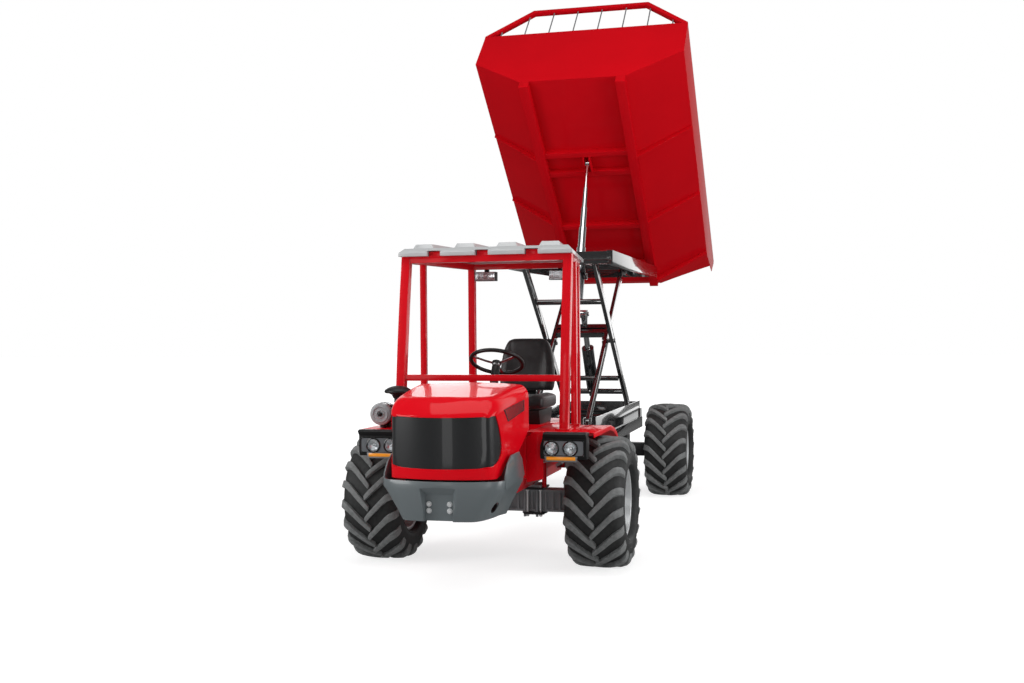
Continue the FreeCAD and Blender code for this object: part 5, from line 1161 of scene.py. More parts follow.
@dataclass
class Bumper:
    """Wrapped bumper with an undercut chin, side shields, a bolt plate and two tow eyes."""

    at: Datum
    repeat: Repeater
    wall: float = 10.0
    levels: tuple[Pair, ...] = ((468.0, 0.0), (655.0, 1.0), (706.0, 1.0))
    chin: tuple[Pair, ...] = ((0, -1224), (200, -1200), (252, -1192), (285, -1050), (293, -911),
                              (316, -828))
    knee: tuple[Pair, ...] = ((0, -1236), (285, -1183), (345, -1168), (387, -1135), (388, -1050),
                              (388, -700))
    edge: float = 3.0
    plate_y: float = -1186.0
    bolts: Triple = (65.0, 20.0, 548.0)
    eye_centre: Triple = (290.0, -1067.0, 545.0)
    eye_axis: Triple = (0.90, -0.40, -0.18)

    def build(self) -> None:
        """Build the plate with its shields, the lining of its tow eyes and its four bolts."""
        outer = [self.chain(z, m, 0.0) for z, m in self.levels]
        inner = [self.chain(z, m, self.wall) for z, m in self.levels[::-1]]
        shell = loft(outer + inner + outer[:1], closed_ring=False)
        bmesh.ops.holes_fill(shell, edges=[edge for edge in shell.edges if edge.is_boundary])
        outward(shell)
        solid = loft([self.chain(z, m, 2.0) for z, m in self.levels], caps=True)
        pocket = combined(self.recess(self.wall), solid, "INTERSECT")
        body = combined(combined(shell, pocket, "UNION"), self.recess(0.0), "DIFFERENCE")
        for tool in (self.eye(), mirrored(self.eye())):
            body = combined(body, tool, "DIFFERENCE")
        parts = [rounded(each, self.edge * MM)
                 for each in (opened(body), self.shield(), mirrored(self.shield()))]
        piece("bumper_plate", joined(parts), SLATE, ["bumper"], angle_deg=36.0)
        piece("bumper_eyes", with_mirror(self.eye_ring()), DARK_IRON)
        self.fasteners()

    def chain(self, z: float, share: float, gap: float) -> list[Vector]:
        """Return the plan line of a level from the right end to the left, drawn in by gap."""
        half = []
        shares = [i / 8 for i in range(8)]
        for a, b, c, d, e, f in (self.chin, self.knee):
            rows = [(mixed(a[0], b[0], t), mixed(a[1], b[1], t ** 2)) for t in shares]
            rows += [bezier((b, c, d, e), t) for t in shares]
            rows += [(mixed(e[0], f[0], i / 3), mixed(e[1], f[1], i / 3)) for i in range(4)]
            half.append(rows)
        left = [(mixed(p[0], q[0], share), mixed(p[1], q[1], share)) for p, q in zip(*half)]
        line = [(-x, y) for x, y in left[:0:-1]] + left
        points = []
        for i, (x, y) in enumerate(line):
            (x0, y0), (x1, y1) = line[max(i - 1, 0)], line[min(i + 1, len(line) - 1)]
            run = math.hypot(x1 - x0, y1 - y0)
            points.append(self.at(x - gap * (y1 - y0) / run, y + gap * (x1 - x0) / run, z))
        return points

    def recess(self, grow: float) -> Shape:
        """Return the tapered pocket for the bolt plate, larger all round by grow."""
        rings = []
        for y, top_x, top_z, low_x in ((-1260 - grow, 132, 694, 97),
                                       (self.plate_y + grow, 84, 625, 84)):
            rings.append([self.at(x, y, z) for x, z in (
                (-top_x - grow, top_z + grow), (top_x + grow, top_z + grow),
                (low_x + grow, 440), (-low_x - grow, 440))])
        return loft(rings, caps=True)

    def shield(self) -> Shape:
        """Return the left side plate that rises over the bumper along the lid's foot."""
        outline = [(-1100, 655), (-1092, 735), (-1040, 800), (-960, 843), (-772, 848), (-700, 800),
                   (-640, 692), (-700, 655)]
        return prism([self.at(377.6, y, z) for y, z in outline], (0.0108, 0, 0))

    def eye(self) -> Shape:
        """Return the slanted bore of the left tow eye."""
        middle, across = self.at(*self.eye_centre), Vector(self.eye_axis).normalized()
        return rod(middle - across * 0.05, middle + across * 0.06, 0.036, 0.0, 40)

    def eye_ring(self) -> Shape:
        """Return the welded ring lining the left tow eye, with its cross pin."""
        middle, across = self.at(*self.eye_centre), Vector(self.eye_axis).normalized()
        sleeve = [(-45, 35.5), (12, 35.5), (12, 30), (-45, 30)]
        pin, reach = middle - across * 0.02, Vector((0, 0, 0.034))
        return joined([turned(sleeve, middle, across, 40),
                       rod(pin + reach, pin - reach, 0.010, 0.0, 20)])

    def fasteners(self) -> None:
        """Set four plate bolts on the recessed plate, near white with a painted glint."""
        x, z, middle = self.bolts
        foot = Vector((-x * MM, 0, 0))
        washer = rod(foot, foot + Vector((0, -0.003, 0)), 0.017, 0.0008, 28)
        head = rod(foot, foot + Vector((0, -0.012, 0)), 0.0135, 0.0015, 6)
        pair = self.repeat.copies(joined([washer, head]), 2, ZINC_WITH_PAINTED_GLINT, shift=(2 * x * MM, 0, 0))
        rows = self.repeat.copies(pair, 2, ZINC_WITH_PAINTED_GLINT, shift=(0, 0, 2 * z * MM), phase=-0.5)
        bolts = joined([rows])
        bmesh.ops.translate(bolts, vec=self.at(0, self.plate_y, middle), verts=bolts.verts)
        piece("bumper_bolts", bolts, ZINC_WITH_PAINTED_GLINT)


# --- steelwork --------------------------------------------------------------------------

@dataclass(frozen=True)
class Dressing:
    """How a CAD node is dressed: its finish and the rounding of its edges; at 0 its mesh stays."""

    node: str
    finish: Finish
    edge_mm: float = 0.0
    segments: int = 2
    body: str = "chassis"


STEELWORK = (
    Dressing("front_frame", FRAME_RED, 3.0),
    Dressing("rear_frame", BLACK_STEEL, 3.0),
    Dressing("engine_block", DARK_IRON),
    Dressing("front_axle", CAST_ALLOY),
    Dressing("rear_axle", DARK_IRON, 3.0),
    Dressing("drive_shaft", BARE_STEEL),
    Dressing("cab_platform", RED, 1.8),
    Dressing("fenders", RED, 2.5),
    Dressing("headlamp_housings", PLASTIC, 6.0, 3),
    Dressing("rollover_frame", FRAME_RED, 7.0, 3),
    Dressing("work_lamps", PLASTIC, 4.0),
    Dressing("steering_column", PLASTIC, 8.0, 3),
    Dressing("seat_base", PLASTIC, 5.0),
    Dressing("knuckle_left", DARK_IRON, 2.0, body="steer_left"),
    Dressing("knuckle_right", DARK_IRON, 2.0, body="steer_right"),
    Dressing("inner_arms", BLACK_STEEL, 3.0, body="inner_arms"),
    Dressing("outer_arms", BLACK_STEEL, 3.0, body="outer_arms"),
    Dressing("lift_barrel", BLACK_STEEL, 2.0, body="lift_barrel"),
    Dressing("lift_rod", CHROME, body="lift_rod"),
    Dressing("top_frame", BLACK_STEEL, 3.0, body="top_frame"),
    Dressing("bed_tub", BED_RED, 1.6, body="bed"),
    Dressing("bed_underframe", BED_RED, 2.0, body="bed"),
    Dressing("tip_barrel", BARE_STEEL, body="tip_barrel"),
    *(Dressing(f"tip_stage_{k}", CHROME, body=f"tip_stage_{k}") for k in range(1, 6)),
)


@dataclass
class Steelwork:
    """The welded, cast and bought-in parts that keep the CAD's shape."""

    dressings: tuple[Dressing, ...] = STEELWORK
    bar_width: float = 0.006

    def build(self) -> None:
        """Dress every node of the list and the bed's guard."""
        for each in self.dressings:
            if each.edge_mm:
                mesh = rounded(node_copy(each.node), each.edge_mm * MM, each.segments)
                piece(each.node + "_dressed", mesh, each.finish, [each.node], each.body, 40.0)
            else:
                self.repaint(each)
        self.guard()

    def repaint(self, each: Dressing) -> None:
        """Give a CAD node its finish and leave its mesh alone."""
        node = bpy.data.objects[each.node]
        for place in node.material_slots:
            place.link = "OBJECT"
            place.material = each.finish.material()

    def guard(self) -> None:
        """Dress the bed's guard; its thin upright bars are grey where the hoop is red."""
        work = node_copy("bed_guard")
        for face in work.faces:
            longest = max(edge.calc_length() for edge in face.edges)
            thin = longest and face.calc_area() / longest < self.bar_width
            face.material_index = 1 if thin else 0
        piece("bed_guard_dressed", rounded(work, 3.0 * MM), (BED_RED, GUARD_ROD), ["bed_guard"],
              "bed", 40.0)


# --- lamps ------------------------------------------------------------------------------

@dataclass
class Headlamps:
    """Twin round lamps in a satin panel on each moulded housing, with an indicator bar below."""

    at: Datum
    repeat: Repeater
    front: float = -552.0
    lamp_x: Pair = (543.0, 665.0)
    lamp_z: float = 848.0
    lamp_r: float = 43.0
    panel: Quad = (490.0, 752.0, 802.0, 898.0)
    panel_corner: float = 16.0
    bezel: tuple[Pair, ...] = ((0, 40), (0, 51), (-5, 50), (-7.5, 47), (-8, 44), (-6, 41))
    bowl: tuple[Pair, ...] = (
        (2, 42), (-8, 41), (-17, 36), (-24, 27), (-28, 16), (-29, 11), (-30.5, 11), (-30.5, 30),
        (-26, 38), (-18, 42.5), (2, 42.8))
    bulb: tuple[Pair, ...] = ((-29, 0), (-29, 10.5), (-14, 10.5), (-11, 9), (-9, 6), (-8, 0))
    dome: tuple[Pair, ...] = ((2.5, 0), (2.2, 20), (0.6, 36), (0, 43), (3, 43), (4.2, 36),
                              (5.8, 20), (6.2, 0))
    bar_half: float = 100.0
    bar_z: Pair = (770.0, 800.0)
    bead: tuple[Pair, ...] = ((-2, 0), (-2, 5), (3.2, 4.2), (4.4, 0))
    bead_count: int = 17
    bead_step: float = 10.75

    def build(self) -> None:
        """Build both sides' panels, rings, bowls, covers and indicator bars."""
        for name, source, finish, nodes in (
                ("lamp_panels", self.surround(), LAMP_PANEL, []),
                ("lamp_rings", self.rings(), GLOSS_BLACK, []),
                ("lamp_bowls", self.bowls(), REFLECTOR, ["headlamps"]),
                ("lamp_covers", self.covers(), CLEAR, []),
                ("indicator_frames", self.bar_frame(), CAST_ALLOY, []),
                ("indicator_lights", self.bar_lights(), AMBER, ["indicators"])):
            piece(name, with_mirror(source), finish, nodes)

    def surround(self) -> Shape:
        """Return the satin panel, drawn as a cell with a round hole for each lamp."""
        x0, x1, z0, z1 = self.panel
        middle = sum(self.lamp_x) / 2
        cells = []
        for x, low, high in ((self.lamp_x[0], x0, middle), (self.lamp_x[1], middle, x1)):
            rings = []
            for depth, hole in ((0.0, False), (-4.0, False), (-4.0, True), (0.0, True)):
                ring = []
                for k in range(64):
                    a = 2 * math.pi * k / 64
                    c, s = math.cos(a), math.sin(a)
                    reach_x = ((high if c > 0 else low) - x) / c if abs(c) > 1e-6 else 1e9
                    reach_z = ((z1 if s > 0 else z0) - self.lamp_z) / s if abs(s) > 1e-6 else 1e9
                    reach = self.lamp_r - 3 if hole else min(reach_x, reach_z)
                    ring.append(self.at(x + reach * c, self.front + depth, self.lamp_z + reach * s))
                rings.append(ring)
            cells.append(loft(rings + [rings[0]]))
        return joined(cells)

    def rings(self) -> Shape:
        """Return the dark rings round the lamps and the line round the panel."""
        bezel = [(-d, r) for d, r in self.bezel]
        parts: list = [turned(bezel, self.at(x, self.front - 3.5, self.lamp_z), FORWARD)
                       for x in self.lamp_x]
        x0, x1, z0, z1 = self.panel
        corner = self.panel_corner
        loop = []
        for x, z, start in ((x1 - corner, z1 - corner, 0), (x0 + corner, z1 - corner, 90),
                            (x0 + corner, z0 + corner, 180), (x1 - corner, z0 + corner, 270)):
            for k in range(6):
                a = math.radians(start + 18 * k)
                loop.append(self.at(x + corner * math.cos(a), self.front - 4.5,
                                    z + corner * math.sin(a)))
        parts.append(pipe(loop + [loop[0]], 0.0026, 8, smooth=False))
        return joined(parts)

    def bowls(self) -> Shape:
        """Return the reflector bowls with their bulbs."""
        starts = [self.at(x, self.front, self.lamp_z) for x in self.lamp_x]
        return joined([turned(profile, start, FORWARD, steps) for start in starts
                       for profile, steps in ((self.bowl, 48), (self.bulb, 24))])

    def covers(self) -> Shape:
        """Return the slightly domed clear covers."""
        return joined([turned(self.dome, self.at(x, self.front - 5, self.lamp_z), FORWARD)
                       for x in self.lamp_x])

    def bar_frame(self) -> Shape:
        """Return the tapered frame round the indicator."""
        middle = sum(self.lamp_x) / 2
        low, high = self.bar_z
        outline = [self.at(middle + x * (self.bar_half + 8), self.front + 3, z)
                   for x, z in ((-0.94, low - 7), (0.94, low - 7), (1, high + 2), (-1, high + 2))]
        return joined([rounded(prism(outline, (0, -0.009, 0)), 2.5 * MM)])

    def bar_lights(self) -> Shape:
        """Return the amber strip and its row of small lenses."""
        middle = sum(self.lamp_x) / 2
        low, high = self.bar_z
        reach = self.bar_half - 6
        strip = rounded(self.at.box((middle - reach, middle + reach), (self.front - 9, self.front),
                                    (low + 3, high - 4)), 3 * MM)
        start = self.at(middle - self.bar_half + 14, self.front - 7.5, (low + high) / 2)
        bead = turned(self.bead, start, FORWARD, 12)
        row = self.repeat.copies(bead, self.bead_count, AMBER, shift=(self.bead_step * MM, 0, 0))
        return joined([strip, row])


@dataclass
class Roof:
    """Moulded roof, notched round three red tabs of the front rail, and the work lamps' faces."""

    at: Datum
    repeat: Repeater
    tabs_x: tuple[float, ...] = (-357.0, -18.0, 329.0)
    tab_half: float = 44.0
    rail_front: float = -159.0
    rail_top: float = 2114.0
    lamp_x: float = 290.0
    lamp_y: float = 853.5

    def build(self) -> None:
        """Build the moulding, its rail tabs and the work lamps' faces."""
        bosses = joined([self.raised(x) for x in self.tabs_x])
        shaped = combined(node_copy("roof_panel"), bosses, "UNION")
        shaped = combined(shaped, joined([self.notch(x) for x in self.tabs_x]), "DIFFERENCE")
        roof = rounded(opened(shaped), 6 * MM, 3)
        piece("roof_moulding", roof, ROOF_GREY, ["roof_panel"], angle_deg=40.0)
        x, y, z = self.tabs_x[0], self.rail_front, self.rail_top
        tab = rounded(self.at.box((x - self.tab_half, x + self.tab_half), (y - 0.5, y + 26),
                                  (z - 4, z + 33)), 2.5 * MM)
        step = (self.tabs_x[2] - self.tabs_x[0]) / 2
        tabs = self.repeat.copies(tab, len(self.tabs_x), FRAME_RED, shift=(step * MM, 0, 0))
        piece("roof_tabs", tabs, FRAME_RED)
        piece("work_lamp_faces", with_mirror(self.lamp_face()), REFLECTOR)
        piece("work_lamp_covers", with_mirror(self.lamp_cover()), CLEAR)

    def raised(self, x: float) -> Shape:
        """Return the boss that the roof carries round a tab."""
        side = ((70, -195.5, 2117), (70, -193, 2146), (66, -158, 2166), (60, -96, 2169),
                (60, -90, 2117))
        return prism([self.at(x - half, y, z) for half, y, z in side], (0.138, 0, 0))

    def notch(self, x: float) -> Shape:
        """Return the space cut for a tab."""
        half = self.tab_half + 3
        return self.at.box((x - half, x + half), (-230, -130), (2100, 2151))

    def lamp_face(self) -> Shape:
        """Return the ribbed reflector in the front of the left work lamp."""
        x, y, z0, z1 = self.lamp_x, self.lamp_y, 1988.0, 2048.0
        face = rounded(self.at.box((x - 74, x + 74), (y - 1.5, y + 4), (z0, z1)), 1.2 * MM)
        rib = self.at.box((x - 70, x - 63), (y - 3.5, y - 0.5), (z0 + 4, z1 - 4))
        return joined([face, self.repeat.copies(rib, 10, REFLECTOR, shift=(0.01478, 0, 0))])

    def lamp_cover(self) -> Shape:
        """Return the clear front of the left work lamp."""
        x, y = self.lamp_x, self.lamp_y
        sheet = self.at.box((x - 76, x + 76), (y - 8, y - 4), (1986, 2050))
        return joined([rounded(sheet, 1.5 * MM)])


# --- axle clamps and cab ----------------------------------------------------------------

@dataclass
class AxleClamp:
    """U-bolts, clamp plates and a pair of guide tubes that tie the front axle to the frame."""

    at: Datum
    legs_x: Pair = (264.0, 355.0)
    leg_y: float = 76.0
    leg_z: Pair = (335.0, 545.0)
    plate_z: tuple[Pair, ...] = ((350.0, 365.5), (519.5, 533.0))
    tube_z: Pair = (532.0, 700.0)

    def build(self) -> None:
        """Build the bolts, near white with a painted glint, the dark plates and the red guide tubes
        of both sides.
        """
        legs, plates, tubes = [], [], []
        left, right = self.legs_x
        for x in self.legs_x:
            for y in (-self.leg_y, self.leg_y):
                legs.append(self.upright(x, y, self.leg_z, 0.007, 0.001, 16))
                for low, _ in self.plate_z:
                    legs.append(self.upright(x, y, (low - 12, low - 0.5), 0.0125, 0.001, 6))
            tubes.append(self.upright(x + 20, -45, self.tube_z, 0.016, 0.002, 24))
        for span in self.plate_z:
            plates.append(rounded(self.at.box((left - 24, right + 24), (-95, 95), span), 2 * MM))
        piece("axle_bolts", with_mirror(joined(legs)), ZINC_WITH_PAINTED_GLINT)
        piece("axle_plates", with_mirror(joined(plates)), DARK_IRON)
        piece("axle_guides", with_mirror(joined(tubes)), FRAME_RED)

    def upright(self, x: float, y: float, z: Pair, radius: float, edge: float,
                steps: int) -> Shape:
        """Return an upright bar between two heights."""
        return rod(self.at(x, y, z[0]), self.at(x, y, z[1]), radius, edge, steps)


@dataclass
class CabFront:
    """Folded sheets behind the lid: a wing plate on each side and the hood of the dash."""

    at: Datum
    wing: tuple[Pair, ...] = ((356, 616), (466, 640), (466, 944), (400, 944), (351, 900))
    wing_y: float = -462.0
    dash: tuple[Pair, ...] = ((-236, 1112), (-236, 1206), (-206, 1236), (206, 1236), (236, 1206),
                              (236, 1112))
    dash_y: Pair = (-522.0, -420.0)

    def build(self) -> None:
        """Build both plates and the dash's forward part."""
        plate = prism([self.at(x, self.wing_y, z) for x, z in self.wing], (0, 0.006, 0))
        piece("wing_plates", joined([rounded(with_mirror(plate), 1.5 * MM)]), RED)
        front, rear = self.dash_y
        cowl = prism([self.at(x, front, z) for x, z in self.dash], (0, (rear - front) * MM, 0))
        piece("dash_cowl", rounded(cowl, 8 * MM, 3), RED)


@dataclass
class SteeringWheel:
    """Padded rim on three twin-bar spokes, dished down to the hub."""

    at: Datum
    centre: Triple = (0.0, 118.0, 1382.0)
    tilt_deg: float = 28.0
    radius: float = 196.0
    grip: float = 14.0
    cap: tuple[Pair, ...] = ((-20, 0), (-20, 33), (-6, 34), (1, 32), (4.5, 27), (6, 18), (6, 0))
    neck: tuple[Pair, ...] = ((-37, 0), (-37, 22), (-34, 27), (-26, 30), (-18, 31), (-18, 0))
    spoke: tuple[Triple, ...] = ((22, 8, -15), (60, 8.5, -14), (110, 8, -9), (160, 7, -3),
                                 (186, 6.5, -1.5))
    spoke_web: tuple[Triple, ...] = ((24, -6, -14), (184, -5, -2), (184, 5, -2), (24, 6, -14))

    def build(self) -> None:
        """Build rim, spokes and hub on the column axis."""
        turn = Matrix.Rotation(-math.radians(self.tilt_deg), 4, "X")
        place = Matrix.Translation(self.at(*self.centre)) @ turn
        for name, parts, finish, nodes in (
                ("wheel_grip", [self.rim(), turned(self.cap, ORIGIN, UPWARD, 40)], GRIP,
                 ["steering_wheel"]),
                ("wheel_spokes", self.spokes(), BARE_STEEL, []),
                ("wheel_collar", [turned(self.neck, ORIGIN, UPWARD, 40)], BARE_STEEL, [])):
            work = joined(parts)
            bmesh.ops.transform(work, matrix=place, verts=work.verts)
            piece(name, work, finish, nodes, "steering_wheel", 50.0)

    def rim(self) -> Shape:
        """Return the grip, a little flattened towards the driver."""
        ring = []
        for k in range(16):
            a = 2 * math.pi * k / 16
            ring.append((self.grip * MM * math.sin(a),
                         (self.radius - self.grip + self.grip * math.cos(a)) * MM))
        return lathe(ring, ORIGIN, UPWARD, 72)

    def spokes(self) -> list[Mesh]:
        """Return three pairs of bent bars, each pair with a web between."""
        bars = []
        for k in range(3):
            turn = Matrix.Rotation(math.radians(90 + 120 * k), 3, "Z")
            for side in (-1, 1):
                points = [turn @ Vector((r * MM, side * w * MM, d * MM)) for r, w, d in self.spoke]
                bars.append(pipe(points, 0.0046, 12))
            web = [turn @ Vector((r * MM, w * MM, d * MM)) for r, w, d in self.spoke_web]
            bars.append(mesh_of(prism(web, (0, 0, -0.003))))
        return bars


@dataclass
class Seat:
    """Bolstered vinyl cushions of the suspension seat."""

    at: Datum
    half: float = 234.0
    pan: Quad = (561.0, 1009.0, 1011.0, 1127.5)
    low: float = 1131.0
    top: float = 1541.0
    thick: float = 95.0
    rear: float = 1036.0
    hinge: Pair = (988.0, 1130.0)
    lean_deg: float = 9.0
    rise: float = 9.0
    seam_half: float = 225.0
    outline: tuple[Pair, ...] = ((0, 200), (0.12, 214), (0.4, 212), (0.62, 203), (0.8, 184),
                                 (0.9, 168), (0.955, 150), (0.985, 128), (1, 104))

    def build(self) -> None:
        """Build the two cushions as padded pieces."""
        cushion = piece("seat_pad", self.cushion(), SEAT, ["seat_cushion"], angle_deg=60.0)
        back = piece("seat_backrest", self.back(), SEAT, ["seat_back"], angle_deg=60.0)

    def ring(self, half: float, thick: float, bolster: float) -> list[Pair]:
        """Return a section of a cushion: (across, out) points, its front raised at both sides."""
        points = []
        count, squareness = 56, 2 / 5.0
        for k in range(count):
            a = 2 * math.pi * k / count
            c, s = math.cos(a), math.sin(a)
            x = half * math.copysign(abs(c) ** squareness, c)
            out = thick / 2 * math.copysign(abs(s) ** squareness, s)
            if s > 0:
                share = abs(x) / self.seam_half
                dip = 1 - smooth((share - 0.45) / 0.28)
                seam = math.exp(-((share - 0.57) / 0.035) ** 2)
                out -= s * (bolster * dip + 5.0 * seam)
            points.append((x, out))
        return points

    def cushion(self) -> Shape:
        """Return the seat cushion, rolled off at its front edge."""
        y0, y1, z0, z1 = self.pan
        rings = []
        for t in (0.0, 0.012, 0.04, 0.09, 0.16, 0.3, 0.5, 0.7, 0.86, 0.95, 0.985, 1.0):
            end = min(t, 1 - t)
            swell = (1 - (1 - min(1.0, end / 0.13)) ** 2.6) ** 0.5
            half = self.half * (0.90 + 0.10 * swell) * (0.95 + 0.05 * smooth(t * 3))
            thick = (z1 - z0) * (0.35 + 0.65 * swell)
            centre = (z0 + z1) / 2
            rings.append([self.at(x, mixed(y0, y1, t), centre + out)
                          for x, out in self.ring(half, thick, 16.0 * swell)])
        return loft(rings, caps=True)

    def back(self) -> Shape:
        """Return the backrest: wide wings below, a narrower rounded head."""
        rings = []
        turn = Matrix.Rotation(-math.radians(self.lean_deg), 4, "X")
        pivot = self.at(0, *self.hinge)
        lift = Vector((0, 0, self.rise * MM))
        for t in (0.0, 0.01, 0.035, 0.08, 0.16, 0.3, 0.45, 0.58, 0.7, 0.8, 0.87, 0.92, 0.955, 0.98,
                  0.993, 1.0):
            end = min(t, 1 - t)
            swell = (1 - (1 - min(1.0, end / 0.10)) ** 2.4) ** 0.5
            half = along(self.outline, t)
            thick = self.thick * (0.30 + 0.70 * swell)
            bolster = 20.0 * swell * (1 - smooth((t - 0.45) / 0.35))
            z = mixed(self.low, self.top - self.rise, t)
            points = [self.at(x, self.rear - self.thick / 2 - out, z)
                      for x, out in self.ring(half, thick, bolster)]
            rings.append([pivot + turn @ (point - pivot) + lift for point in points])
        return loft(rings, caps=True)


@dataclass
class Breather:
    """Air cleaner canister and mushroom-shaped intake on the right fender."""

    at: Datum
    repeat: Repeater
    can_x: float = -692.0
    can_z: float = 1040.0
    body: tuple[Pair, ...] = (
        (0, 0), (0, 26), (4, 28), (4, 52), (0, 54), (0, 66), (3, 71), (8, 74), (60, 74), (62, 77.5),
        (72, 77.5), (74, 75), (240, 75), (250, 73), (296, 73), (312, 70), (324, 60), (330, 44),
        (330, 0))
    lid: tuple[Pair, ...] = (
        (1, 0), (-3, 0), (-3, 20), (-9, 23), (-9, 28), (-4, 31), (-4, 47), (-9, 50), (-9, 55),
        (-4, 59), (-4, 66), (0, 73), (6, 75.4), (24, 75.4), (24, 74.2), (1, 74.2))
    bolt: tuple[Pair, ...] = ((0, 0), (0, 15), (9, 15), (13, 11), (16, 0))
    valve: tuple[Pair, ...] = ((60, 0), (60, 15), (84, 17), (98, 13), (108, 6), (110, 0))
    strap: tuple[Pair, ...] = ((0, 74.6), (0, 77.4), (24, 77.4), (24, 74.6))
    mushroom: tuple[Pair, ...] = (
        (944.6, 0), (944.6, 31), (952, 31), (955, 26), (1150, 26), (1158, 34), (1176, 42),
        (1186, 62), (1188, 84), (1193, 90), (1201, 91), (1210, 86), (1222, 68), (1231, 44),
        (1236, 20), (1237, 0))

    def build(self) -> None:
        """Build the canister with its cover, knob, strap and latches, and the intake."""
        for name, source, finish, nodes in (
                ("air_can", self.can(), GLOSS_BLACK, ["air_cleaner"]),
                ("air_can_cover", self.along_can(self.lid, -352), CAN_GREY, []),
                ("air_can_knob", self.knob(), PLASTIC, []),
                ("air_can_band", self.band(), ZINC, []),
                ("intake_cap", self.intake(), PLASTIC, ["air_intake"])):
            piece(name, source, finish, nodes, angle_deg=40.0)

    def along_can(self, profile: Sequence[Pair], y: float) -> Shape:
        """Turn a profile about the canister's axis, from a place y backwards."""
        return turned(profile, self.at(self.can_x, y, self.can_z), BACKWARD, 56)

    def can(self) -> Shape:
        """Return the canister's body on its saddle."""
        saddle = self.at.box((self.can_x - 40, self.can_x + 40), (-262, -222), (944.6, 1020))
        return joined([self.along_can(self.body, -352), rounded(saddle, 3 * MM)])

    def knob(self) -> Shape:
        """Return the cover's wing bolt and the dust valve below it."""
        return joined([
            turned(self.bolt, self.at(self.can_x, -355, self.can_z), FORWARD, 24),
            turned(self.valve, self.at(self.can_x + 12, -322, self.can_z), DOWNWARD, 24)])

    def band(self) -> Mesh:
        """Return the strap round the canister and the three cover latches."""
        clip = rounded(block((-0.006, 0.0, 0.0735), (0.006, 0.034, 0.0778)), 1 * MM)
        clip.transform(Matrix.Rotation(math.pi / 2, 4, "Z"))
        clips = self.repeat.copies(clip, 3, ZINC, turn=(2 * math.pi / 3, 0, 0))
        clips.transform(Matrix.Translation(self.at(self.can_x, -300, self.can_z))
                        @ Matrix.Rotation(math.pi / 2, 4, "Z") @ Matrix.Rotation(math.pi, 4, "Z"))
        return mesh_of(joined([self.along_can(self.strap, -252), clips]))

    def intake(self) -> Shape:
        """Return the upright pipe with its domed cap and a fin under the cap's rim."""
        x, y = -540, -415
        fin = self.at.box((x + 60, x + 90.4), (y - 2, y + 2), (1190, 1206))
        return joined([turned(self.mushroom, self.at(x, y, 0), UPWARD), fin])


# --- stage ------------------------------------------------------------------------------

@dataclass(frozen=True)
class Softbox:
    """A large rectangular lamp aimed at a point."""

    name: str
    place: Triple
    size: Pair
    watts: float


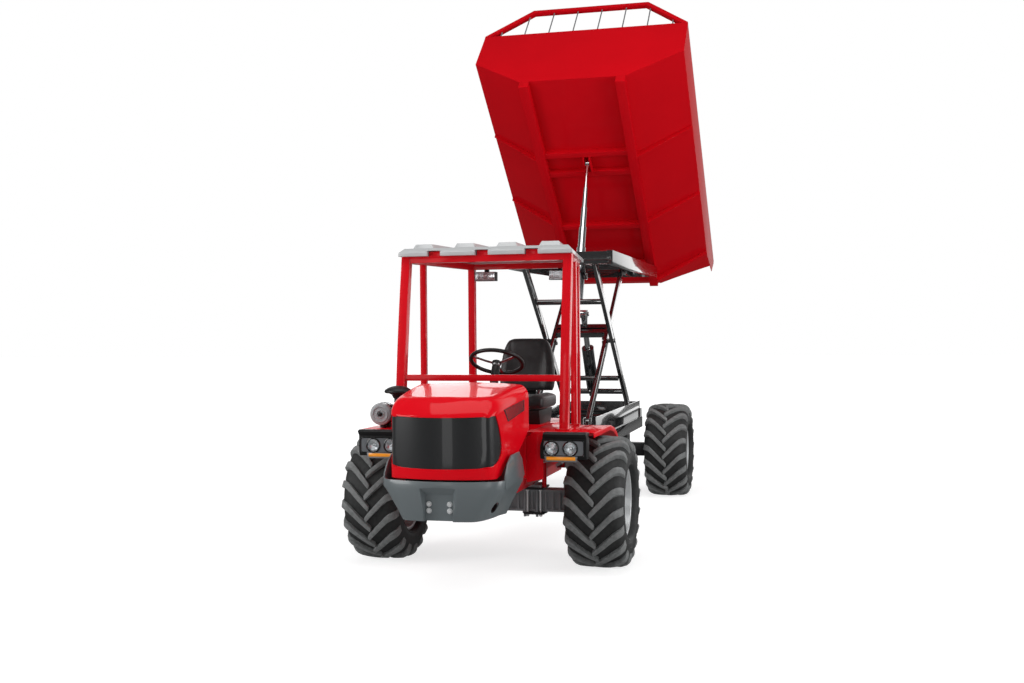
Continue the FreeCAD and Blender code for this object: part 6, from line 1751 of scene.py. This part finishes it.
@dataclass
class Studio:
    """White studio: world, floor, softboxes and the camera."""

    at: Datum
    boxes: tuple[Softbox, ...] = (
        Softbox("overhead", (0.5, -4.0, 8.0), (7.0, 5.0), 250.0),
        Softbox("front right", (-5.5, -6.5, 3.0), (3.2, 4.2), 200.0),
        Softbox("left side", (7.5, -2.5, 2.8), (4.5, 4.0), 250.0),
        Softbox("rear", (-2.0, 8.0, 4.5), (5.0, 3.0), 90.0),
        Softbox("strip middle", (-0.9, -9.5, 1.6), (1.1, 3.0), 12.0),
        Softbox("strip left", (3.3, -8.8, 1.6), (1.7, 3.0), 26.0),
    )
    aim: Triple = (0.0, 0.0, 1.1)
    sky_fill: float = 0.28
    sky_band: Pair = (0.5, 0.95)
    sky_mirror: Pair = (0.12, 1.4)
    floor_half: float = 60.0
    floor_colour: Quad = (0.46, 0.46, 0.46, 1.0)
    floor_reach: Pair = (3.0, 9.0)
    floor_glow: Pair = (0.72, 1.0)
    floor_bounce: float = 0.16
    floor_mirror: float = 0.14
    lens: float = 41.66
    eye: Triple = (2224.5, -7896.7, 1596.2)
    azimuth_deg: float = 14.768
    pitch_deg: float = -0.502
    roll_deg: float = -0.439

    def build(self) -> None:
        """Build the whole studio."""
        self.world()
        self.floor()
        for each in self.boxes:
            self.lamp(each)
        self.camera()

    def world(self) -> None:
        """Make the world white to the camera and a soft fill elsewhere, bright behind in gloss."""
        world = bpy.data.worlds.new("studio")
        bpy.context.scene.world = world
        world.use_nodes = True
        tree = world.node_tree
        tree.nodes.clear()
        ray = add_node(tree, "ShaderNodeLightPath").outputs
        seen = add_node(tree, "ShaderNodeMath", {
            0: ray["Is Camera Ray"], 1: ray["Is Transmission Ray"]}, operation="MAXIMUM")
        where = add_node(tree, "ShaderNodeTexCoord").outputs["Generated"]
        axes = add_node(tree, "ShaderNodeSeparateXYZ", {0: where}).outputs
        band = ranged(tree, axes["Y"], self.sky_band, self.sky_mirror,
                      interpolation_type="SMOOTHSTEP")
        lit = chosen(tree, ray["Is Glossy Ray"], white(tree, "Background", self.sky_fill),
                     white(tree, "Background", band))
        shown = chosen(tree, seen.outputs[0], lit, white(tree, "Background", 1.0))
        add_node(tree, "ShaderNodeOutputWorld", {"Surface": shown})

    def floor(self) -> None:
        """Lay the floor: white to the camera, greyer near the vehicle and where it is shaded."""
        made = bpy.data.materials.new("white studio floor")
        made.use_nodes = True
        tree = made.node_tree
        tree.nodes.clear()
        ray = add_node(tree, "ShaderNodeLightPath").outputs
        lit = add_node(tree, "ShaderNodeBsdfDiffuse", {
            "Color": self.floor_colour, "Roughness": 1.0}).outputs[0]
        where = add_node(tree, "ShaderNodeTexCoord").outputs["Object"]
        away = add_node(tree, "ShaderNodeVectorMath", {0: where}, operation="LENGTH")
        level = ranged(tree, away.outputs["Value"], self.floor_reach, self.floor_glow)
        extra = chosen(tree, ray["Is Camera Ray"], white(tree, "Emission", self.floor_bounce),
                       white(tree, "Emission", level))
        both = add_node(tree, "ShaderNodeAddShader", {0: lit, 1: extra}).outputs[0]
        shown = chosen(tree, ray["Is Glossy Ray"], both,
                       white(tree, "Emission", self.floor_mirror))
        add_node(tree, "ShaderNodeOutputMaterial", {"Surface": shown})
        work = bmesh.new()
        bmesh.ops.create_grid(work, x_segments=1, y_segments=1, size=self.floor_half)
        mesh = mesh_of(work)
        mesh.materials.append(made)
        linked("floor", mesh)

    def lamp(self, box: Softbox) -> None:
        """Hang a softbox and aim it at the vehicle's middle."""
        data = bpy.data.lights.new(box.name, "AREA")
        data.shape = "RECTANGLE"
        data.size, data.size_y = box.size
        data.energy = box.watts
        made = linked(box.name, data)
        made.location = box.place
        towards = Vector(self.aim) - Vector(box.place)
        made.rotation_euler = towards.to_track_quat("-Z", "Y").to_euler()
        made.visible_camera = False

    def camera(self) -> None:
        """Set up the camera at the photographer's place."""
        data = bpy.data.cameras.new("camera")
        data.lens = self.lens
        data.sensor_width = 36.0
        made = linked("camera", data)
        made.matrix_world = (Matrix.Translation(self.at(*self.eye))
                             @ Matrix.Rotation(math.radians(self.azimuth_deg), 4, "Z")
                             @ Matrix.Rotation(math.radians(90.0 + self.pitch_deg), 4, "X")
                             @ Matrix.Rotation(math.radians(self.roll_deg), 4, "Z"))
        bpy.context.scene.camera = made


# --- main -------------------------------------------------------------------------------


def main() -> None:
    """Load the frame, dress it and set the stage."""
    logging.basicConfig(level=logging.INFO, format="%(name)s: %(message)s")
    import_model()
    at = Datum.measured()
    repeat = Repeater()
    Steelwork().build()
    Hood(at).build()
    Bumper(at, repeat).build()
    Headlamps(at, repeat).build()
    Roof(at, repeat).build()
    AxleClamp(at).build()
    CabFront(at).build()
    SteeringWheel(at).build()
    Seat(at).build()
    Breather(at, repeat).build()
    for end in ("front", "rear"):
        for side in ("left", "right"):
            Wheel(repeat, end, side).build()
    bpy.context.scene.view_settings.view_transform = "Standard"
    Studio(at).build()


if __name__ == "__main__":
    main()
